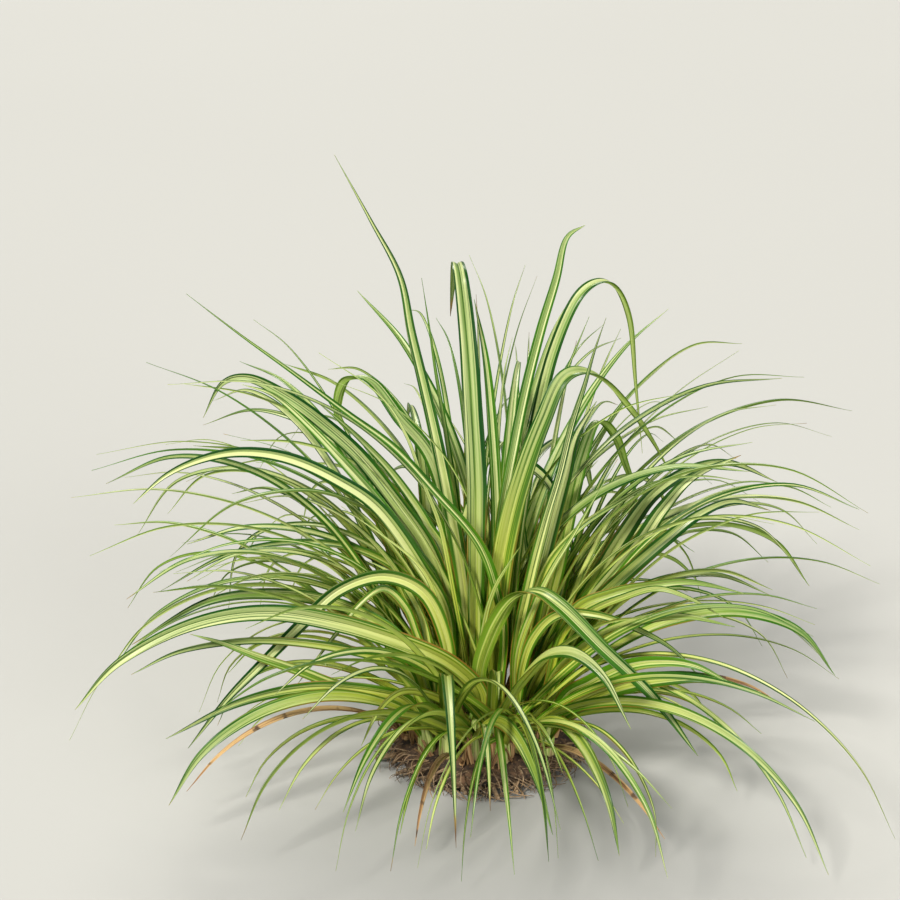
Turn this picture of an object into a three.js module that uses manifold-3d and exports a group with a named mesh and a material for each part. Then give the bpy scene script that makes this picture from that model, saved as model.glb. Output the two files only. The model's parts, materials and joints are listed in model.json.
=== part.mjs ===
// Carex sedge: a tuft of cream-striped, arching leaves on its rootstock, cut flat under the crown.
// Millimetres, +Z up. The origin is the middle of the rootstock's flat underside, +X is the tuft's
// right side and -Y its front. Each leafy shoot stands in a plain hole in the rootstock.
import * as THREE from "three";
import { mergeVertices } from "three/addons/utils/BufferGeometryUtils.js";
import Module from "manifold-3d";

const wasm = await Module();
wasm.setup();

// ---------------------------------------------------------------- driving dimensions

const GAP = 0.35; // clear space between neighbouring pieces
const LEAF_SEED = 4211; // first seed of the leaves' draws
const ROOT_SEED = 977; // seed of the rootstock's draws

const ROOTSTOCK = {
  foot: 34, // radius of the flat underside
  belly: 40, // widest radius
  bellyHeight: 5,
  shoulder: 36, // radius where the top turns over
  shoulderHeight: 10,
  crown: 18, // radius of the middle of the top
  top: 13.5, // height of the middle
  sides: 26,
  swells: [{ share: 0.035, waves: 3, phase: 1 }, { share: 0.025, waves: 7, phase: 2.4 }],
};
const ROOT_STUBS = {
  count: 26,
  radius: 1.5,
  endRadius: 0.8,
  sunk: 4, // how far its inner end lies inside the foot's edge
  innerHeight: [4.4, 1], // middle and spread, like the next ones
  outerHeight: [2.4, 0.8],
  reach: [5, 4.5], // past the belly
  swing: 7, // degrees off its even place
  trail: 16, // degrees that it runs round the side
};
const OLD_SHEATHS = {
  count: 60, // places tried
  radius: 1.5,
  tipRadius: 0.3,
  floor: 7,
  height: [20, 4],
  lean: 1.12, // the tip's distance from the middle over the foot's
  room: 5.9, // free distance that one needs to the nearest shoot
};

const SHEATH = { sides: 7, radius: 3.9, floor: 4, collar: 14, top: 30, topRadius: 1.5, lean: 4 };
const LEAF_ROOT = { height: 15, step: 1.3 }; // the first leaf's root, and the climb to the next one
const BLADE = {
  rib: 1.1, // thickness at the midrib
  tipRib: 0.65,
  foldAtRoot: 40, // degrees that each half of the blade is lifted, at the root
  foldAtMiddle: 15,
  foldAtTip: 28,
  openedAt: 0.3, // share of the length at which the blade lies most open
  neck: 0.84, // share of the full width at the root
  neckLength: 0.25, // share of the length
  taper: 3.2, // power that keeps a blade broad until near its tip, where its leaf gives no other
  point: 0.9, // power that shapes the point
  straightSegments: 3.4, // segments that a straight blade has, before rounding
  bendPerSegment: 20, // degrees
  segments: [5, 9], // fewest and most
};
const ARCH_CHORDS = 6; // straight steps that an arching leaf's midrib is worked out by
const FLOOR_CLEARANCE = 2.5; // leaf tips stay this far above the surface that the tuft stands on

// ---------------------------------------------------------------- leaves set one by one
// The tuft's best leaves. Each goes from its shoot's root through the points given, in mm.
// turn is how far its upper face is turned to the front, in degrees, at even steps from root to tip.
// A leaf of lower taper narrows sooner.

const SET_SHOOTS = [
  {
    at: [-3, 3],
    leaves: [
      {
        width: 9,
        turn: [69, 63],
        taper: 1,
        through: [[-8, 3, 76], [-15, 5, 119], [-22, 8, 154], [-30, 12, 189], [-35, 16, 214],
          [-47, 20, 237], [-62, 25, 264]],
      },
      {
        width: 4.1,
        turn: [52, 50],
        taper: 1,
        through: [[-8, 6, 84], [-12, 9, 120], [-16, 12, 147], [-20, 15, 171], [-23, 18, 192],
          [-26, 20, 212]],
      },
      {
        width: 9.3,
        turn: [8, -8],
        through: [[-3, 0, 92], [-3, 2, 128], [-5, 6, 163], [-7, 11, 190], [-10, 20, 214],
          [-12, 47, 207], [-14, 76, 175]],
      },
      {
        width: 6,
        turn: [6, 3],
        taper: 3,
        through: [[5, 2, 72], [6, 4, 113], [4, 8, 148], [1, 13, 178], [-4, 19, 203]],
      },
      {
        width: 2.4,
        turn: [78, 66],
        taper: 2,
        through: [[-12, -7, 76], [-18, -9, 110], [-25, -8, 130], [-33, -7, 153], [-45, -4, 170],
          [-69, 3, 185]],
      },
    ],
  },
  {
    at: [6, -5],
    leaves: [
      {
        width: 4.8,
        turn: [58, 50],
        taper: 5,
        through: [[6, -5, 66], [7, -3, 107], [13, 0, 145], [18, 4, 170], [24, 8, 194],
          [30, 12, 214], [34, 16, 230], [42, 20, 235]],
      },
      {
        width: 7,
        turn: [58, 58, 60, 58, -2, -58, -60],
        taper: 1.8,
        through: [[10, -1, 64], [14, 2, 105], [21, 6, 146], [29, 11, 182], [40, 18, 205],
          [53, 25, 208], [62, 31, 190], [66, 36, 158], [70, 40, 124]],
      },
      {
        width: 11.5,
        turn: [60, 60, 58, 50, -45, -60],
        taper: 1.5,
        through: [[6, -6, 57], [7, -6, 85], [11, -5, 111], [17, -3, 134], [25, 0, 156],
          [34, 6, 173], [48, 12, 171], [62, 19, 154], [73, 26, 136], [83, 33, 116]],
      },
      {
        width: 7.8,
        turn: [-80, -75, 5, 65, 60],
        taper: 6,
        through: [[-2, -12, 40], [2, -17, 62], [11, -22, 82], [21, -27, 89], [32, -33, 85],
          [49, -42, 71], [71, -54, 53], [89, -64, 31]],
      },
      {
        width: 5.2,
        turn: [95, 72],
        taper: 1.5,
        through: [[9, -10, 58], [6, -12, 82], [-2, -14, 106], [-20, -16, 130], [-37, -16, 150],
          [-57, -14, 165], [-79, -10, 181], [-101, -5, 196], [-123, 0, 212]],
      },
      {
        width: 3.5,
        turn: [124, 97],
        taper: 1.6,
        through: [[0, -12, 52], [1, -14, 70], [5, -16, 86], [11, -17, 98], [16, -18, 107]],
      },
    ],
  },
  {
    at: [15, -10],
    leaves: [
      {
        width: 6.5,
        turn: [67, 58],
        taper: 1.2,
        through: [[14, -11, 52], [20, -10, 87], [26, -7, 112], [32, -4, 133], [37, 0, 154],
          [42, 3, 170], [46, 6, 184], [51, 10, 198]],
      },
      {
        width: 2.2,
        turn: [53, 45],
        through: [[13, -6, 57], [16, -2, 97], [21, 2, 132], [26, 5, 156], [33, 8, 169],
          [39, 10, 183], [45, 13, 197]],
      },
      {
        width: 6.8,
        turn: [55, 62],
        taper: 4,
        through: [[18, -7, 52], [24, -5, 84], [30, -2, 111], [35, 1, 131], [39, 5, 147],
          [48, 12, 160]],
      },
      {
        width: 5,
        turn: [74, 82],
        taper: 1.2,
        through: [[17, -9, 46], [21, -8, 72], [28, -6, 93], [41, -3, 108], [57, 1, 118],
          [73, 6, 125], [93, 11, 126], [113, 16, 121]],
      },
      {
        width: 4.5,
        turn: [80, 74],
        taper: 1.1,
        through: [[15, -14, 53], [22, -14, 77], [29, -13, 93], [38, -12, 109], [46, -11, 124],
          [56, -9, 142]],
      },
      {
        width: 5,
        turn: [108, 60],
        taper: 2.5,
        through: [[17, -16, 48], [22, -19, 65], [32, -23, 77], [48, -28, 79], [64, -33, 75],
          [79, -38, 68], [92, -45, 56]],
      },
    ],
  },
  {
    at: [19, 2],
    leaves: [
      {
        width: 10,
        turn: [66, 88],
        taper: 2.4,
        through: [[20, 1, 36], [33, 3, 56], [46, 7, 74], [60, 13, 97], [73, 19, 114], [90, 26, 123],
          [108, 33, 123], [130, 42, 110]],
      },
      {
        width: 7.5,
        turn: [80, 84],
        through: [[22, -3, 32], [33, -6, 54], [49, -8, 76], [63, -8, 91], [77, -7, 104],
          [91, -5, 115], [106, 0, 119], [123, 6, 112]],
      },
      {
        width: 9.5,
        turn: [72, 68],
        taper: 3,
        through: [[25, 0, 44], [39, 1, 63], [53, 3, 80], [67, 6, 97], [77, 9, 112], [90, 13, 125],
          [111, 20, 132]],
      },
      {
        width: 6.3,
        turn: [40, 130],
        through: [[19, 8, 50], [18, 12, 81], [15, 15, 108], [16, 19, 127], [25, 23, 122],
          [33, 26, 108], [38, 28, 93], [41, 30, 68]],
      },
      {
        width: 8,
        turn: [60, 60, 60, -25, -60, -60],
        taper: 2,
        through: [[25, 4, 52], [32, 9, 84], [37, 13, 109], [42, 18, 130], [49, 24, 145],
          [57, 29, 137], [62, 33, 123], [67, 37, 107], [69, 41, 88]],
      },
    ],
  },
  {
    at: [26, -8],
    leaves: [
      {
        width: 6.3,
        turn: [92, 70],
        through: [[32, -12, 55], [40, -16, 76], [54, -18, 84], [68, -19, 88], [87, -21, 91],
          [110, -24, 87]],
      },
      {
        width: 3.8,
        turn: [105, 62],
        through: [[33, -15, 61], [45, -21, 77], [58, -28, 87], [72, -34, 94], [85, -39, 92],
          [99, -43, 85]],
      },
      {
        width: 6,
        turn: [98, 61],
        through: [[30, -13, 40], [39, -22, 57], [51, -30, 71], [65, -36, 80], [83, -40, 84],
          [104, -46, 82]],
      },
    ],
  },
  {
    at: [27, -19],
    leaves: [
      {
        width: 8,
        turn: [98, 60],
        taper: 2.4,
        through: [[35, -28, 40], [45, -34, 50], [57, -42, 61], [71, -50, 68], [87, -58, 70],
          [105, -66, 63]],
      },
      {
        width: 9.5,
        turn: [86, 62],
        through: [[35, -25, 32], [45, -31, 42], [58, -38, 51], [73, -46, 58], [91, -53, 62],
          [114, -60, 59]],
      },
    ],
  },
  {
    at: [-14, 1],
    leaves: [
      {
        width: 6.5,
        turn: [95, 72],
        through: [[-15, -3, 65], [-27, -6, 92], [-44, -8, 119], [-62, -11, 134], [-81, -13, 144],
          [-99, -16, 148], [-115, -20, 147], [-131, -24, 141], [-145, -29, 130]],
      },
      {
        width: 9,
        turn: [72, 88],
        taper: 2.2,
        through: [[-14, 1, 63], [-22, 3, 93], [-35, 7, 113], [-52, 13, 134], [-70, 19, 149],
          [-85, 25, 158], [-100, 29, 164], [-112, 32, 160], [-121, 35, 143]],
      },
      {
        width: 6.3,
        turn: [79, 66],
        taper: 2.2,
        through: [[-18, 0, 73], [-29, 1, 95], [-44, 2, 117], [-59, 4, 135], [-73, 7, 150],
          [-88, 10, 163], [-102, 13, 167]],
      },
      {
        width: 5.4,
        turn: [65, 57],
        taper: 2.2,
        through: [[-15, 6, 84], [-24, 10, 104], [-33, 13, 118], [-43, 17, 130], [-57, 22, 143],
          [-71, 26, 154]],
      },
    ],
  },
  {
    at: [-7, 14],
    leaves: [
      {
        width: 6.5,
        turn: [60, 60, 60, 50, 0, -65, -65],
        taper: 6,
        through: [[-12, 16, 75], [-16, 18, 109], [-23, 21, 132], [-36, 26, 147], [-48, 31, 161],
          [-59, 35, 160], [-63, 37, 145], [-57, 38, 134]],
      },
      {
        width: 4,
        turn: [72, 76],
        through: [[-23, 12, 62], [-36, 12, 81], [-57, 15, 91], [-84, 20, 91], [-113, 28, 81],
          [-143, 36, 60]],
      },
      {
        width: 2.8,
        turn: [66, 105],
        through: [[-20, 17, 61], [-40, 21, 83], [-67, 28, 95], [-93, 36, 91], [-109, 42, 75],
          [-114, 48, 45]],
      },
    ],
  },
  {
    at: [-3, -13],
    leaves: [
      {
        width: 9.5,
        turn: [102, 67],
        through: [[-1, -16, 34], [-9, -20, 48], [-26, -26, 62], [-59, -32, 77], [-91, -38, 85],
          [-122, -44, 82], [-151, -50, 68], [-170, -55, 48]],
      },
      {
        width: 4,
        turn: [111, 40],
        through: [[-13, -23, 33], [-24, -32, 44], [-35, -42, 50], [-44, -52, 46], [-51, -60, 34]],
      },
    ],
  },
  {
    at: [-20, -9],
    leaves: [
      {
        width: 7,
        turn: [102, 66],
        taper: 4.5,
        through: [[-15, -10, 39], [-16, -12, 60], [-25, -13, 82], [-42, -15, 91], [-61, -18, 86],
          [-77, -22, 72], [-94, -26, 55], [-109, -30, 40], [-126, -35, 19]],
      },
      {
        width: 7,
        turn: [85, 69],
        through: [[-32, -11, 54], [-53, -11, 72], [-82, -10, 80], [-116, -12, 78], [-150, -18, 60]],
      },
      {
        width: 4,
        turn: [102, 64],
        taper: 2.2,
        through: [[-22, -8, 43], [-28, -8, 59], [-33, -10, 74], [-42, -12, 84], [-52, -16, 79],
          [-62, -20, 67], [-70, -23, 57], [-81, -27, 43]],
      },
      {
        width: 4.5,
        turn: [48, 53],
        taper: 2.2,
        through: [[-23, -5, 52], [-27, 0, 68], [-36, 6, 81], [-48, 14, 86]],
      },
      {
        width: 3,
        turn: [94, 71],
        taper: 2.2,
        through: [[-17, -10, 57], [-19, -12, 75], [-29, -13, 97], [-60, -10, 121]],
      },
    ],
  },
  {
    at: [-24, -20],
    leaves: [
      {
        width: 5.5,
        turn: [82, 65],
        through: [[-33, -24, 30], [-44, -27, 40], [-61, -29, 46], [-77, -31, 54], [-94, -32, 61],
          [-109, -33, 68], [-123, -34, 73]],
      },
      {
        width: 4.5,
        turn: [91, 65],
        through: [[-31, -21, 47], [-44, -22, 56], [-69, -26, 64], [-98, -30, 68], [-127, -34, 65],
          [-148, -38, 56]],
      },
      {
        width: 7,
        turn: [94, 60],
        through: [[-32, -29, 38], [-46, -36, 47], [-72, -42, 52], [-102, -48, 48], [-133, -54, 34]],
      },
    ],
  },
];

// ---------------------------------------------------------------- leaves set by rule
// The other shoots fill the tuft all round. Their leaves point outwards and droop more, and are
// shorter, the further out the shoot stands. A shoot of less vigour is shorter, and lower is how
// many degrees closer to the surface a shoot's leaves set out. fan is a narrower spread of its own.

const RULE_SHOOTS = [
  { at: [6, 8], vigour: 0.8 }, { at: [17, 14], vigour: 0.8 }, { at: [29, 5], vigour: 0.85 },
  { at: [5, 20], vigour: 0.9 }, { at: [-7, 25], vigour: 0.95 }, { at: [-18, 12], vigour: 0.9 },
  { at: [-19, 24], vigour: 1 }, { at: [-28, 1], vigour: 0.9 }, { at: [-29, 14], vigour: 0.95 },
  { at: [16, 27], vigour: 1 }, { at: [27, 18], vigour: 0.8 }, { at: [3, 33], vigour: 1 },
  { at: [5, -17], vigour: 0.6, lower: 22, fan: 80 },
  { at: [17, -22], vigour: 0.8, lower: 24, fan: 70 },
  { at: [-15, -25], vigour: 0.8, lower: 20, fan: 70 },
  { at: [-3, -27], vigour: 0.7, lower: 22, fan: 70 },
  { at: [8, -29], vigour: 0.7, lower: 24, fan: 70 },
];
const RULE = {
  leaves: 6,
  outer: 38, // distance from the middle at which a shoot counts as an outer one
  spread: [150, 92], // degrees either side of outwards, for a middle and an outer shoot
  stray: 14, // degrees off its even place in that spread
  length: [245, 172],
  lengthSpread: 0.22,
  rise: [86, 68], // degrees above the surface at the root
  riseSpread: 8,
  droop: [80, 125], // degrees of bend from root to tip
  droopSpread: 34,
  lateBend: [1.1, 2.1], // power that gathers the bend near the tip
  width: [3.8, 8.8],
  taper: [1.4, 3.4],
  veer: 10, // degrees of sideways drift
  turn: 55,
};
const DEAD_LEAVES = [
  { at: [-33, -9], toward: 203, length: 118 },
  { at: [-9, -33], toward: 248, length: 84 },
  { at: [19, -29], toward: 300, length: 100 },
  { at: [35, -2], toward: 4, length: 112 },
  { at: [-11, 33], toward: 112, length: 108 },
];
const DEAD_LEAF = {
  peg: { radius: 1.7, topRadius: 0.9, floor: 4, top: 12.5 },
  root: 11, // height at which the blade leaves the peg
  blade: { rise: 52, droop: 96, lateBend: 0.9, veer: 14, width: 3.2, turn: [0, 50] },
};

// Steps that are tried in turn until a leaf is clear of the other shoots.
const SWINGS = [0, 2, -2, 4, -4, 7, -7, 10, -10, 14, -14, 20, -20, 27, -27]; // degrees round its shoot
const LIFTS = [0, 3, -3, 6, -6]; // degrees up or down

// ---------------------------------------------------------------- draws and small formulas

function seededDraws(seed) {
  let state = seed >>> 0;
  return () => {
    state = (state + 0x6d2b79f5) >>> 0;
    let bits = Math.imul(state ^ (state >>> 15), state | 1);
    bits ^= bits + Math.imul(bits ^ (bits >>> 7), bits | 61);
    return ((bits ^ (bits >>> 14)) >>> 0) / 4294967296;
  };
}

const GOLDEN_ANGLE = Math.PI * (3 - Math.sqrt(5));
const radians = THREE.MathUtils.degToRad;
const mix = THREE.MathUtils.lerp;
const spread = (draw, centre, half) => centre + half * (2 * draw() - 1);

// ---------------------------------------------------------------- solids

function solidFromTriangles(points, triangles) {
  return new wasm.Manifold(new wasm.Mesh({
    numProp: 3,
    vertProperties: new Float32Array(points.flatMap((point) => point.toArray())),
    triVerts: new Uint32Array(triangles.flat()),
  }));
}

function solidFromGeometry(geometry) {
  geometry.deleteAttribute("normal");
  geometry.deleteAttribute("uv");
  const merged = mergeVertices(geometry, 1e-4);
  return new wasm.Manifold(new wasm.Mesh({
    numProp: 3,
    vertProperties: new Float32Array(merged.attributes.position.array),
    triVerts: new Uint32Array(merged.index.array),
  }));
}

function geometryOf(solid) {
  const mesh = solid.getMesh();
  const geometry = new THREE.BufferGeometry();
  geometry.setAttribute("position", new THREE.BufferAttribute(mesh.vertProperties, 3));
  geometry.setIndex(new THREE.BufferAttribute(mesh.triVerts, 1));
  geometry.computeVertexNormals();
  return geometry;
}

/** A closed skin over rings of points that all have the same number of sides. */
function loftedSolid(rings) {
  const sides = rings[0].length;
  const points = rings.flat();
  const triangles = [];
  for (let ring = 0; ring < rings.length - 1; ring++) {
    for (let side = 0; side < sides; side++) {
      const here = ring * sides + side;
      const next = ring * sides + (side + 1) % sides;
      triangles.push([here, next, next + sides], [here, next + sides, here + sides]);
    }
  }
  const last = (rings.length - 1) * sides;
  for (let side = 1; side < sides - 1; side++) {
    triangles.push([0, side + 1, side], [last, last + side, last + side + 1]);
  }
  return solidFromTriangles(points, triangles);
}

/** A ring of points round a centre, at right angles to an axis. */
function ringAround(centre, axis, radius, sides) {
  const upright = Math.abs(axis.z) > 0.9;
  const across = new THREE.Vector3(upright ? 1 : 0, 0, upright ? 0 : 1).cross(axis).normalize();
  const other = axis.clone().cross(across).normalize();
  return Array.from({ length: sides }, (_, side) => {
    const angle = (2 * Math.PI * side) / sides;
    return centre.clone()
      .addScaledVector(across, radius * Math.cos(angle))
      .addScaledVector(other, radius * Math.sin(angle));
  });
}

// ---------------------------------------------------------------- the midrib of a leaf

/** Points of an arching leaf, whose climb turns into a droop as the power of its length. */
function archingPoints(root, leaf) {
  const points = [];
  const place = root.clone();
  const step = leaf.length / ARCH_CHORDS;
  for (let chord = 0; chord < ARCH_CHORDS; chord++) {
    const along = (chord + 0.5) / ARCH_CHORDS;
    const climb = radians(leaf.rise - leaf.droop * along ** leaf.lateBend);
    const heading = radians(leaf.toward + leaf.veer * along);
    place.add(new THREE.Vector3(
      step * Math.cos(climb) * Math.cos(heading),
      step * Math.cos(climb) * Math.sin(heading),
      step * Math.sin(climb),
    ));
    if (place.z < FLOOR_CLEARANCE) {
      place.z = FLOOR_CLEARANCE;
      points.push(place.clone());
      break;
    }
    points.push(place.clone());
  }
  return points;
}

/** The same points, swung round the root and lifted. */
function movedPoints(root, points, swing, lift) {
  const up = new THREE.Vector3(0, 0, 1);
  const tip = points.at(-1).clone().sub(root);
  const across = new THREE.Vector3(-tip.y, tip.x, 0).normalize();
  return points.map((point) => point.clone().sub(root)
    .applyAxisAngle(across, -radians(lift))
    .applyAxisAngle(up, radians(swing))
    .add(root));
}

// ---------------------------------------------------------------- the blade of a leaf

function bladeWidth(width, taper, along) {
  const neck = mix(BLADE.neck, 1, THREE.MathUtils.smoothstep(along, 0, BLADE.neckLength));
  return width * neck * (1 - along ** taper) ** BLADE.point;
}

function bladeFold(along) {
  const opened = BLADE.openedAt;
  return along < opened
    ? mix(BLADE.foldAtRoot, BLADE.foldAtMiddle, along / opened)
    : mix(BLADE.foldAtMiddle, BLADE.foldAtTip, (along - opened) / (1 - opened));
}

function bladeTurn(turns, along) {
  const place = along * (turns.length - 1);
  const step = Math.min(Math.floor(place), turns.length - 2);
  return mix(turns[step], turns[step + 1], place - step);
}

/** A keeled blade: margin, keel, margin and groove round each section, and a point for its tip. */
function bladeSolid(root, points, { width, turn, taper = BLADE.taper }) {
  const curve = new THREE.CatmullRomCurve3([root, ...points], false, "catmullrom", 0.5);
  const tip = points.at(-1);
  const heading = Math.atan2(tip.y - root.y, tip.x - root.x);
  const sideways = new THREE.Vector3(-Math.sin(heading), Math.cos(heading), 0);
  const towardFront = Math.cos(heading) < 0 ? -1 : 1;
  const bend = [0.12, 0.37, 0.62, 0.87]
    .map((along) => curve.getTangent(along))
    .reduce((sum, tangent, index, all) => sum + (index ? tangent.angleTo(all[index - 1]) : 0), 0);
  const segments = BLADE.straightSegments + bend / radians(BLADE.bendPerSegment);
  const sections = THREE.MathUtils.clamp(Math.round(segments), ...BLADE.segments);

  const skin = [];
  for (let section = 0; section < sections; section++) {
    const along = section / sections;
    const middle = curve.getPoint(along);
    const ahead = curve.getTangent(along);
    const across = sideways.clone().addScaledVector(ahead, -sideways.dot(ahead)).normalize();
    across.applyAxisAngle(ahead, towardFront * radians(bladeTurn(turn, along)));
    const upper = ahead.clone().cross(across);
    const half = bladeWidth(width, taper, along) / 2;
    const fold = radians(bladeFold(along));
    const out = half * Math.cos(fold);
    const rise = half * Math.sin(fold);
    const rib = mix(BLADE.rib, BLADE.tipRib, along);
    const at = (x, y) => middle.clone().addScaledVector(across, x).addScaledVector(upper, y);
    skin.push(at(-out, rise), at(0, -rib / 2), at(out, rise), at(0, rib / 2));
  }
  skin.push(tip.clone());

  const [margin, keel, otherMargin, groove] = [0, 1, 2, 3];
  const triangles = [[margin, groove, keel], [keel, groove, otherMargin]];
  for (let section = 0; section < sections - 1; section++) {
    const [m, k, o, g] = [margin, keel, otherMargin, groove].map((corner) => 4 * section + corner);
    triangles.push([m, k, k + 4], [m, k + 4, m + 4], [g, m, g + 4], [m, m + 4, g + 4]);
    triangles.push([k, o, k + 4], [o, o + 4, k + 4], [o, g, g + 4], [o, g + 4, o + 4]);
  }
  const last = 4 * (sections - 1);
  const point = 4 * sections;
  for (let corner = 0; corner < 4; corner++) {
    triangles.push([last + corner, last + (corner + 1) % 4, point]);
  }
  return solidFromTriangles(skin, triangles);
}

// ---------------------------------------------------------------- the rootstock

const ABOVE_ROOTSTOCK = 2 * ROOTSTOCK.top; // where the holes' cutters end
const shootPlaces = [...SET_SHOOTS, ...RULE_SHOOTS].map((shoot) => shoot.at);
const allPlaces = [...shootPlaces, ...DEAD_LEAVES.map((leaf) => leaf.at)];

/** The pointed sheath that holds a shoot's leaves together, or with a margin the hole it stands in. */
function sheathSolid([x, y], margin) {
  const lean = new THREE.Vector3(x, y, 0).multiplyScalar(SHEATH.lean / ROOTSTOCK.belly);
  const up = new THREE.Vector3(0, 0, 1);
  const wall = margin / Math.cos(Math.PI / SHEATH.sides);
  const ring = (height, radius, share) => ringAround(
    new THREE.Vector3(x, y, height).addScaledVector(lean, share), up, radius, SHEATH.sides);
  if (margin > 0) {
    return loftedSolid([
      ring(SHEATH.floor, SHEATH.radius + wall, 0),
      ring(ABOVE_ROOTSTOCK, SHEATH.radius + wall, 0),
    ]);
  }
  return loftedSolid([
    ring(SHEATH.floor + GAP, SHEATH.radius, 0),
    ring(SHEATH.collar, SHEATH.radius, 0),
    ring(SHEATH.top, SHEATH.topRadius, 1),
  ]);
}

/** A four-sided peg that tapers from one point to another. */
function pegSolid(from, to, radius, endRadius) {
  const axis = to.clone().sub(from).normalize();
  return loftedSolid([ringAround(from, axis, radius, 4), ringAround(to, axis, endRadius, 4)]);
}

/** The woody body, swollen unevenly round its axis. */
function crownSolid() {
  const profile = [
    [0, 0], [ROOTSTOCK.foot, 0], [ROOTSTOCK.belly, ROOTSTOCK.bellyHeight],
    [ROOTSTOCK.shoulder, ROOTSTOCK.shoulderHeight], [ROOTSTOCK.crown, ROOTSTOCK.top],
    [0, ROOTSTOCK.top],
  ].map(([radius, height]) => new THREE.Vector2(radius, height));
  const geometry = new THREE.LatheGeometry(profile, ROOTSTOCK.sides).rotateX(Math.PI / 2);
  const places = geometry.attributes.position;
  for (let index = 0; index < places.count; index++) {
    const angle = Math.atan2(places.getY(index), places.getX(index));
    const swell = ROOTSTOCK.swells.reduce(
      (sum, { share, waves, phase }) => sum + share * Math.sin(waves * angle + phase), 1);
    places.setXY(index, places.getX(index) * swell, places.getY(index) * swell);
  }
  return solidFromGeometry(geometry);
}

const atAngle = (angle, distance, height) => new THREE.Vector3(
  distance * Math.cos(angle), distance * Math.sin(angle), height);

/** A cut root that lies round the side, just clear of the surface below. */
function rootStubSolid(draw, turn) {
  const angle = radians(spread(draw, turn, ROOT_STUBS.swing));
  const trail = radians(spread(draw, 0, ROOT_STUBS.trail));
  const reach = ROOTSTOCK.belly + spread(draw, ...ROOT_STUBS.reach);
  const from = atAngle(angle, ROOTSTOCK.foot - ROOT_STUBS.sunk, spread(draw, ...ROOT_STUBS.innerHeight));
  const to = atAngle(angle + trail, reach, spread(draw, ...ROOT_STUBS.outerHeight));
  return pegSolid(from, to, ROOT_STUBS.radius, ROOT_STUBS.endRadius);
}

function rootstockSolid() {
  const draw = seededDraws(ROOT_SEED);
  let solid = crownSolid();
  for (let stub = 0; stub < ROOT_STUBS.count; stub++) {
    solid = solid.add(rootStubSolid(draw, (360 * stub) / ROOT_STUBS.count));
  }

  // old sheath tips stand up between the shoots, in a sunflower's order
  for (let tip = 0; tip < OLD_SHEATHS.count; tip++) {
    const share = (tip + 0.5) / OLD_SHEATHS.count;
    const from = atAngle(GOLDEN_ANGLE * tip, ROOTSTOCK.shoulder * Math.sqrt(share), OLD_SHEATHS.floor);
    const to = from.clone().multiplyScalar(OLD_SHEATHS.lean).setZ(spread(draw, ...OLD_SHEATHS.height));
    const nearest = Math.min(...allPlaces.map(([x, y]) => Math.hypot(to.x - x, to.y - y)));
    if (nearest > OLD_SHEATHS.room) {
      solid = solid.add(pegSolid(from, to, OLD_SHEATHS.radius, OLD_SHEATHS.tipRadius));
    }
  }

  for (const place of shootPlaces) solid = solid.subtract(sheathSolid(place, GAP));
  for (const leaf of DEAD_LEAVES) solid = solid.subtract(deadLeafPeg(leaf.at, GAP));
  return solid;
}

// ---------------------------------------------------------------- shoots

/** The leaves of a shoot that is set by rule, drawn from its own seed. */
function ruleLeaves({ at: [x, y], vigour, lower = 0, fan }, number) {
  const draw = seededDraws(LEAF_SEED + number);
  const outer = Math.min(1, Math.hypot(x, y) / RULE.outer);
  const outwards = THREE.MathUtils.radToDeg(Math.atan2(y, x));
  return Array.from({ length: RULE.leaves }, (_, index) => {
    const side = ((index * 2) / (RULE.leaves - 1)) - 1;
    const share = (fan ?? mix(...RULE.spread, outer)) * side;
    return {
      toward: outwards + share + spread(draw, 0, RULE.stray),
      length: vigour * mix(...RULE.length, outer) * spread(draw, 1, RULE.lengthSpread),
      rise: spread(draw, mix(...RULE.rise, outer), RULE.riseSpread) - lower,
      droop: spread(draw, mix(...RULE.droop, outer), RULE.droopSpread) - lower,
      lateBend: mix(...RULE.lateBend, draw()),
      width: mix(...RULE.width, draw()),
      taper: mix(...RULE.taper, draw()),
      veer: spread(draw, 0, RULE.veer),
      turn: [spread(draw, 0, RULE.turn), spread(draw, 0, RULE.turn)],
    };
  });
}

const placed = []; // finished pieces, which a new leaf has to stay clear of
const sheaths = shootPlaces.map((place) => ({ place, solid: sheathSolid(place, 0) }));

/** Whether a leaf of the shoot at a place is clear of all other pieces and of all other sheaths. */
function isClear(solid, place) {
  const { min, max } = solid.boundingBox();
  const otherSheaths = sheaths.filter((sheath) => sheath.place !== place).map((sheath) => sheath.solid);
  return [...placed, ...otherSheaths].every((other) => {
    const box = other.boundingBox();
    const isApart = (axis) => box.min[axis] - GAP > max[axis] || box.max[axis] + GAP < min[axis];
    return [0, 1, 2].some(isApart) || other.minGap(solid, 2 * GAP) >= GAP;
  });
}

/** The first of the leaf's tries that is clear of everything placed so far, or nothing. */
function clearBlade(place, root, points, leaf) {
  for (const lift of LIFTS) {
    for (const swing of SWINGS) {
      const moved = movedPoints(root, points, swing, lift);
      if (moved.some((point) => point.z < FLOOR_CLEARANCE - 1)) continue;
      const blade = bladeSolid(root, moved, leaf);
      if (isClear(blade, place)) return blade;
    }
  }
  return null;
}

/** The solid with the small hollows filled that its crossing leaves enclose. */
function filledSolid(solid) {
  return wasm.Manifold.union(solid.decompose().filter((skin) => skin.volume() > 0));
}

/** A shoot in its sheath. A leaf that finds no clear place is left out. */
function shootSolid(place, leaves) {
  let solid = sheathSolid(place, 0);
  leaves.forEach((leaf, index) => {
    const root = new THREE.Vector3(...place, LEAF_ROOT.height + LEAF_ROOT.step * index);
    const points = leaf.through
      ? leaf.through.map((point) => new THREE.Vector3(...point))
      : archingPoints(root, leaf);
    const blade = clearBlade(place, root, points, leaf);
    if (blade) solid = solid.add(blade);
  });
  return filledSolid(solid);
}

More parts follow.
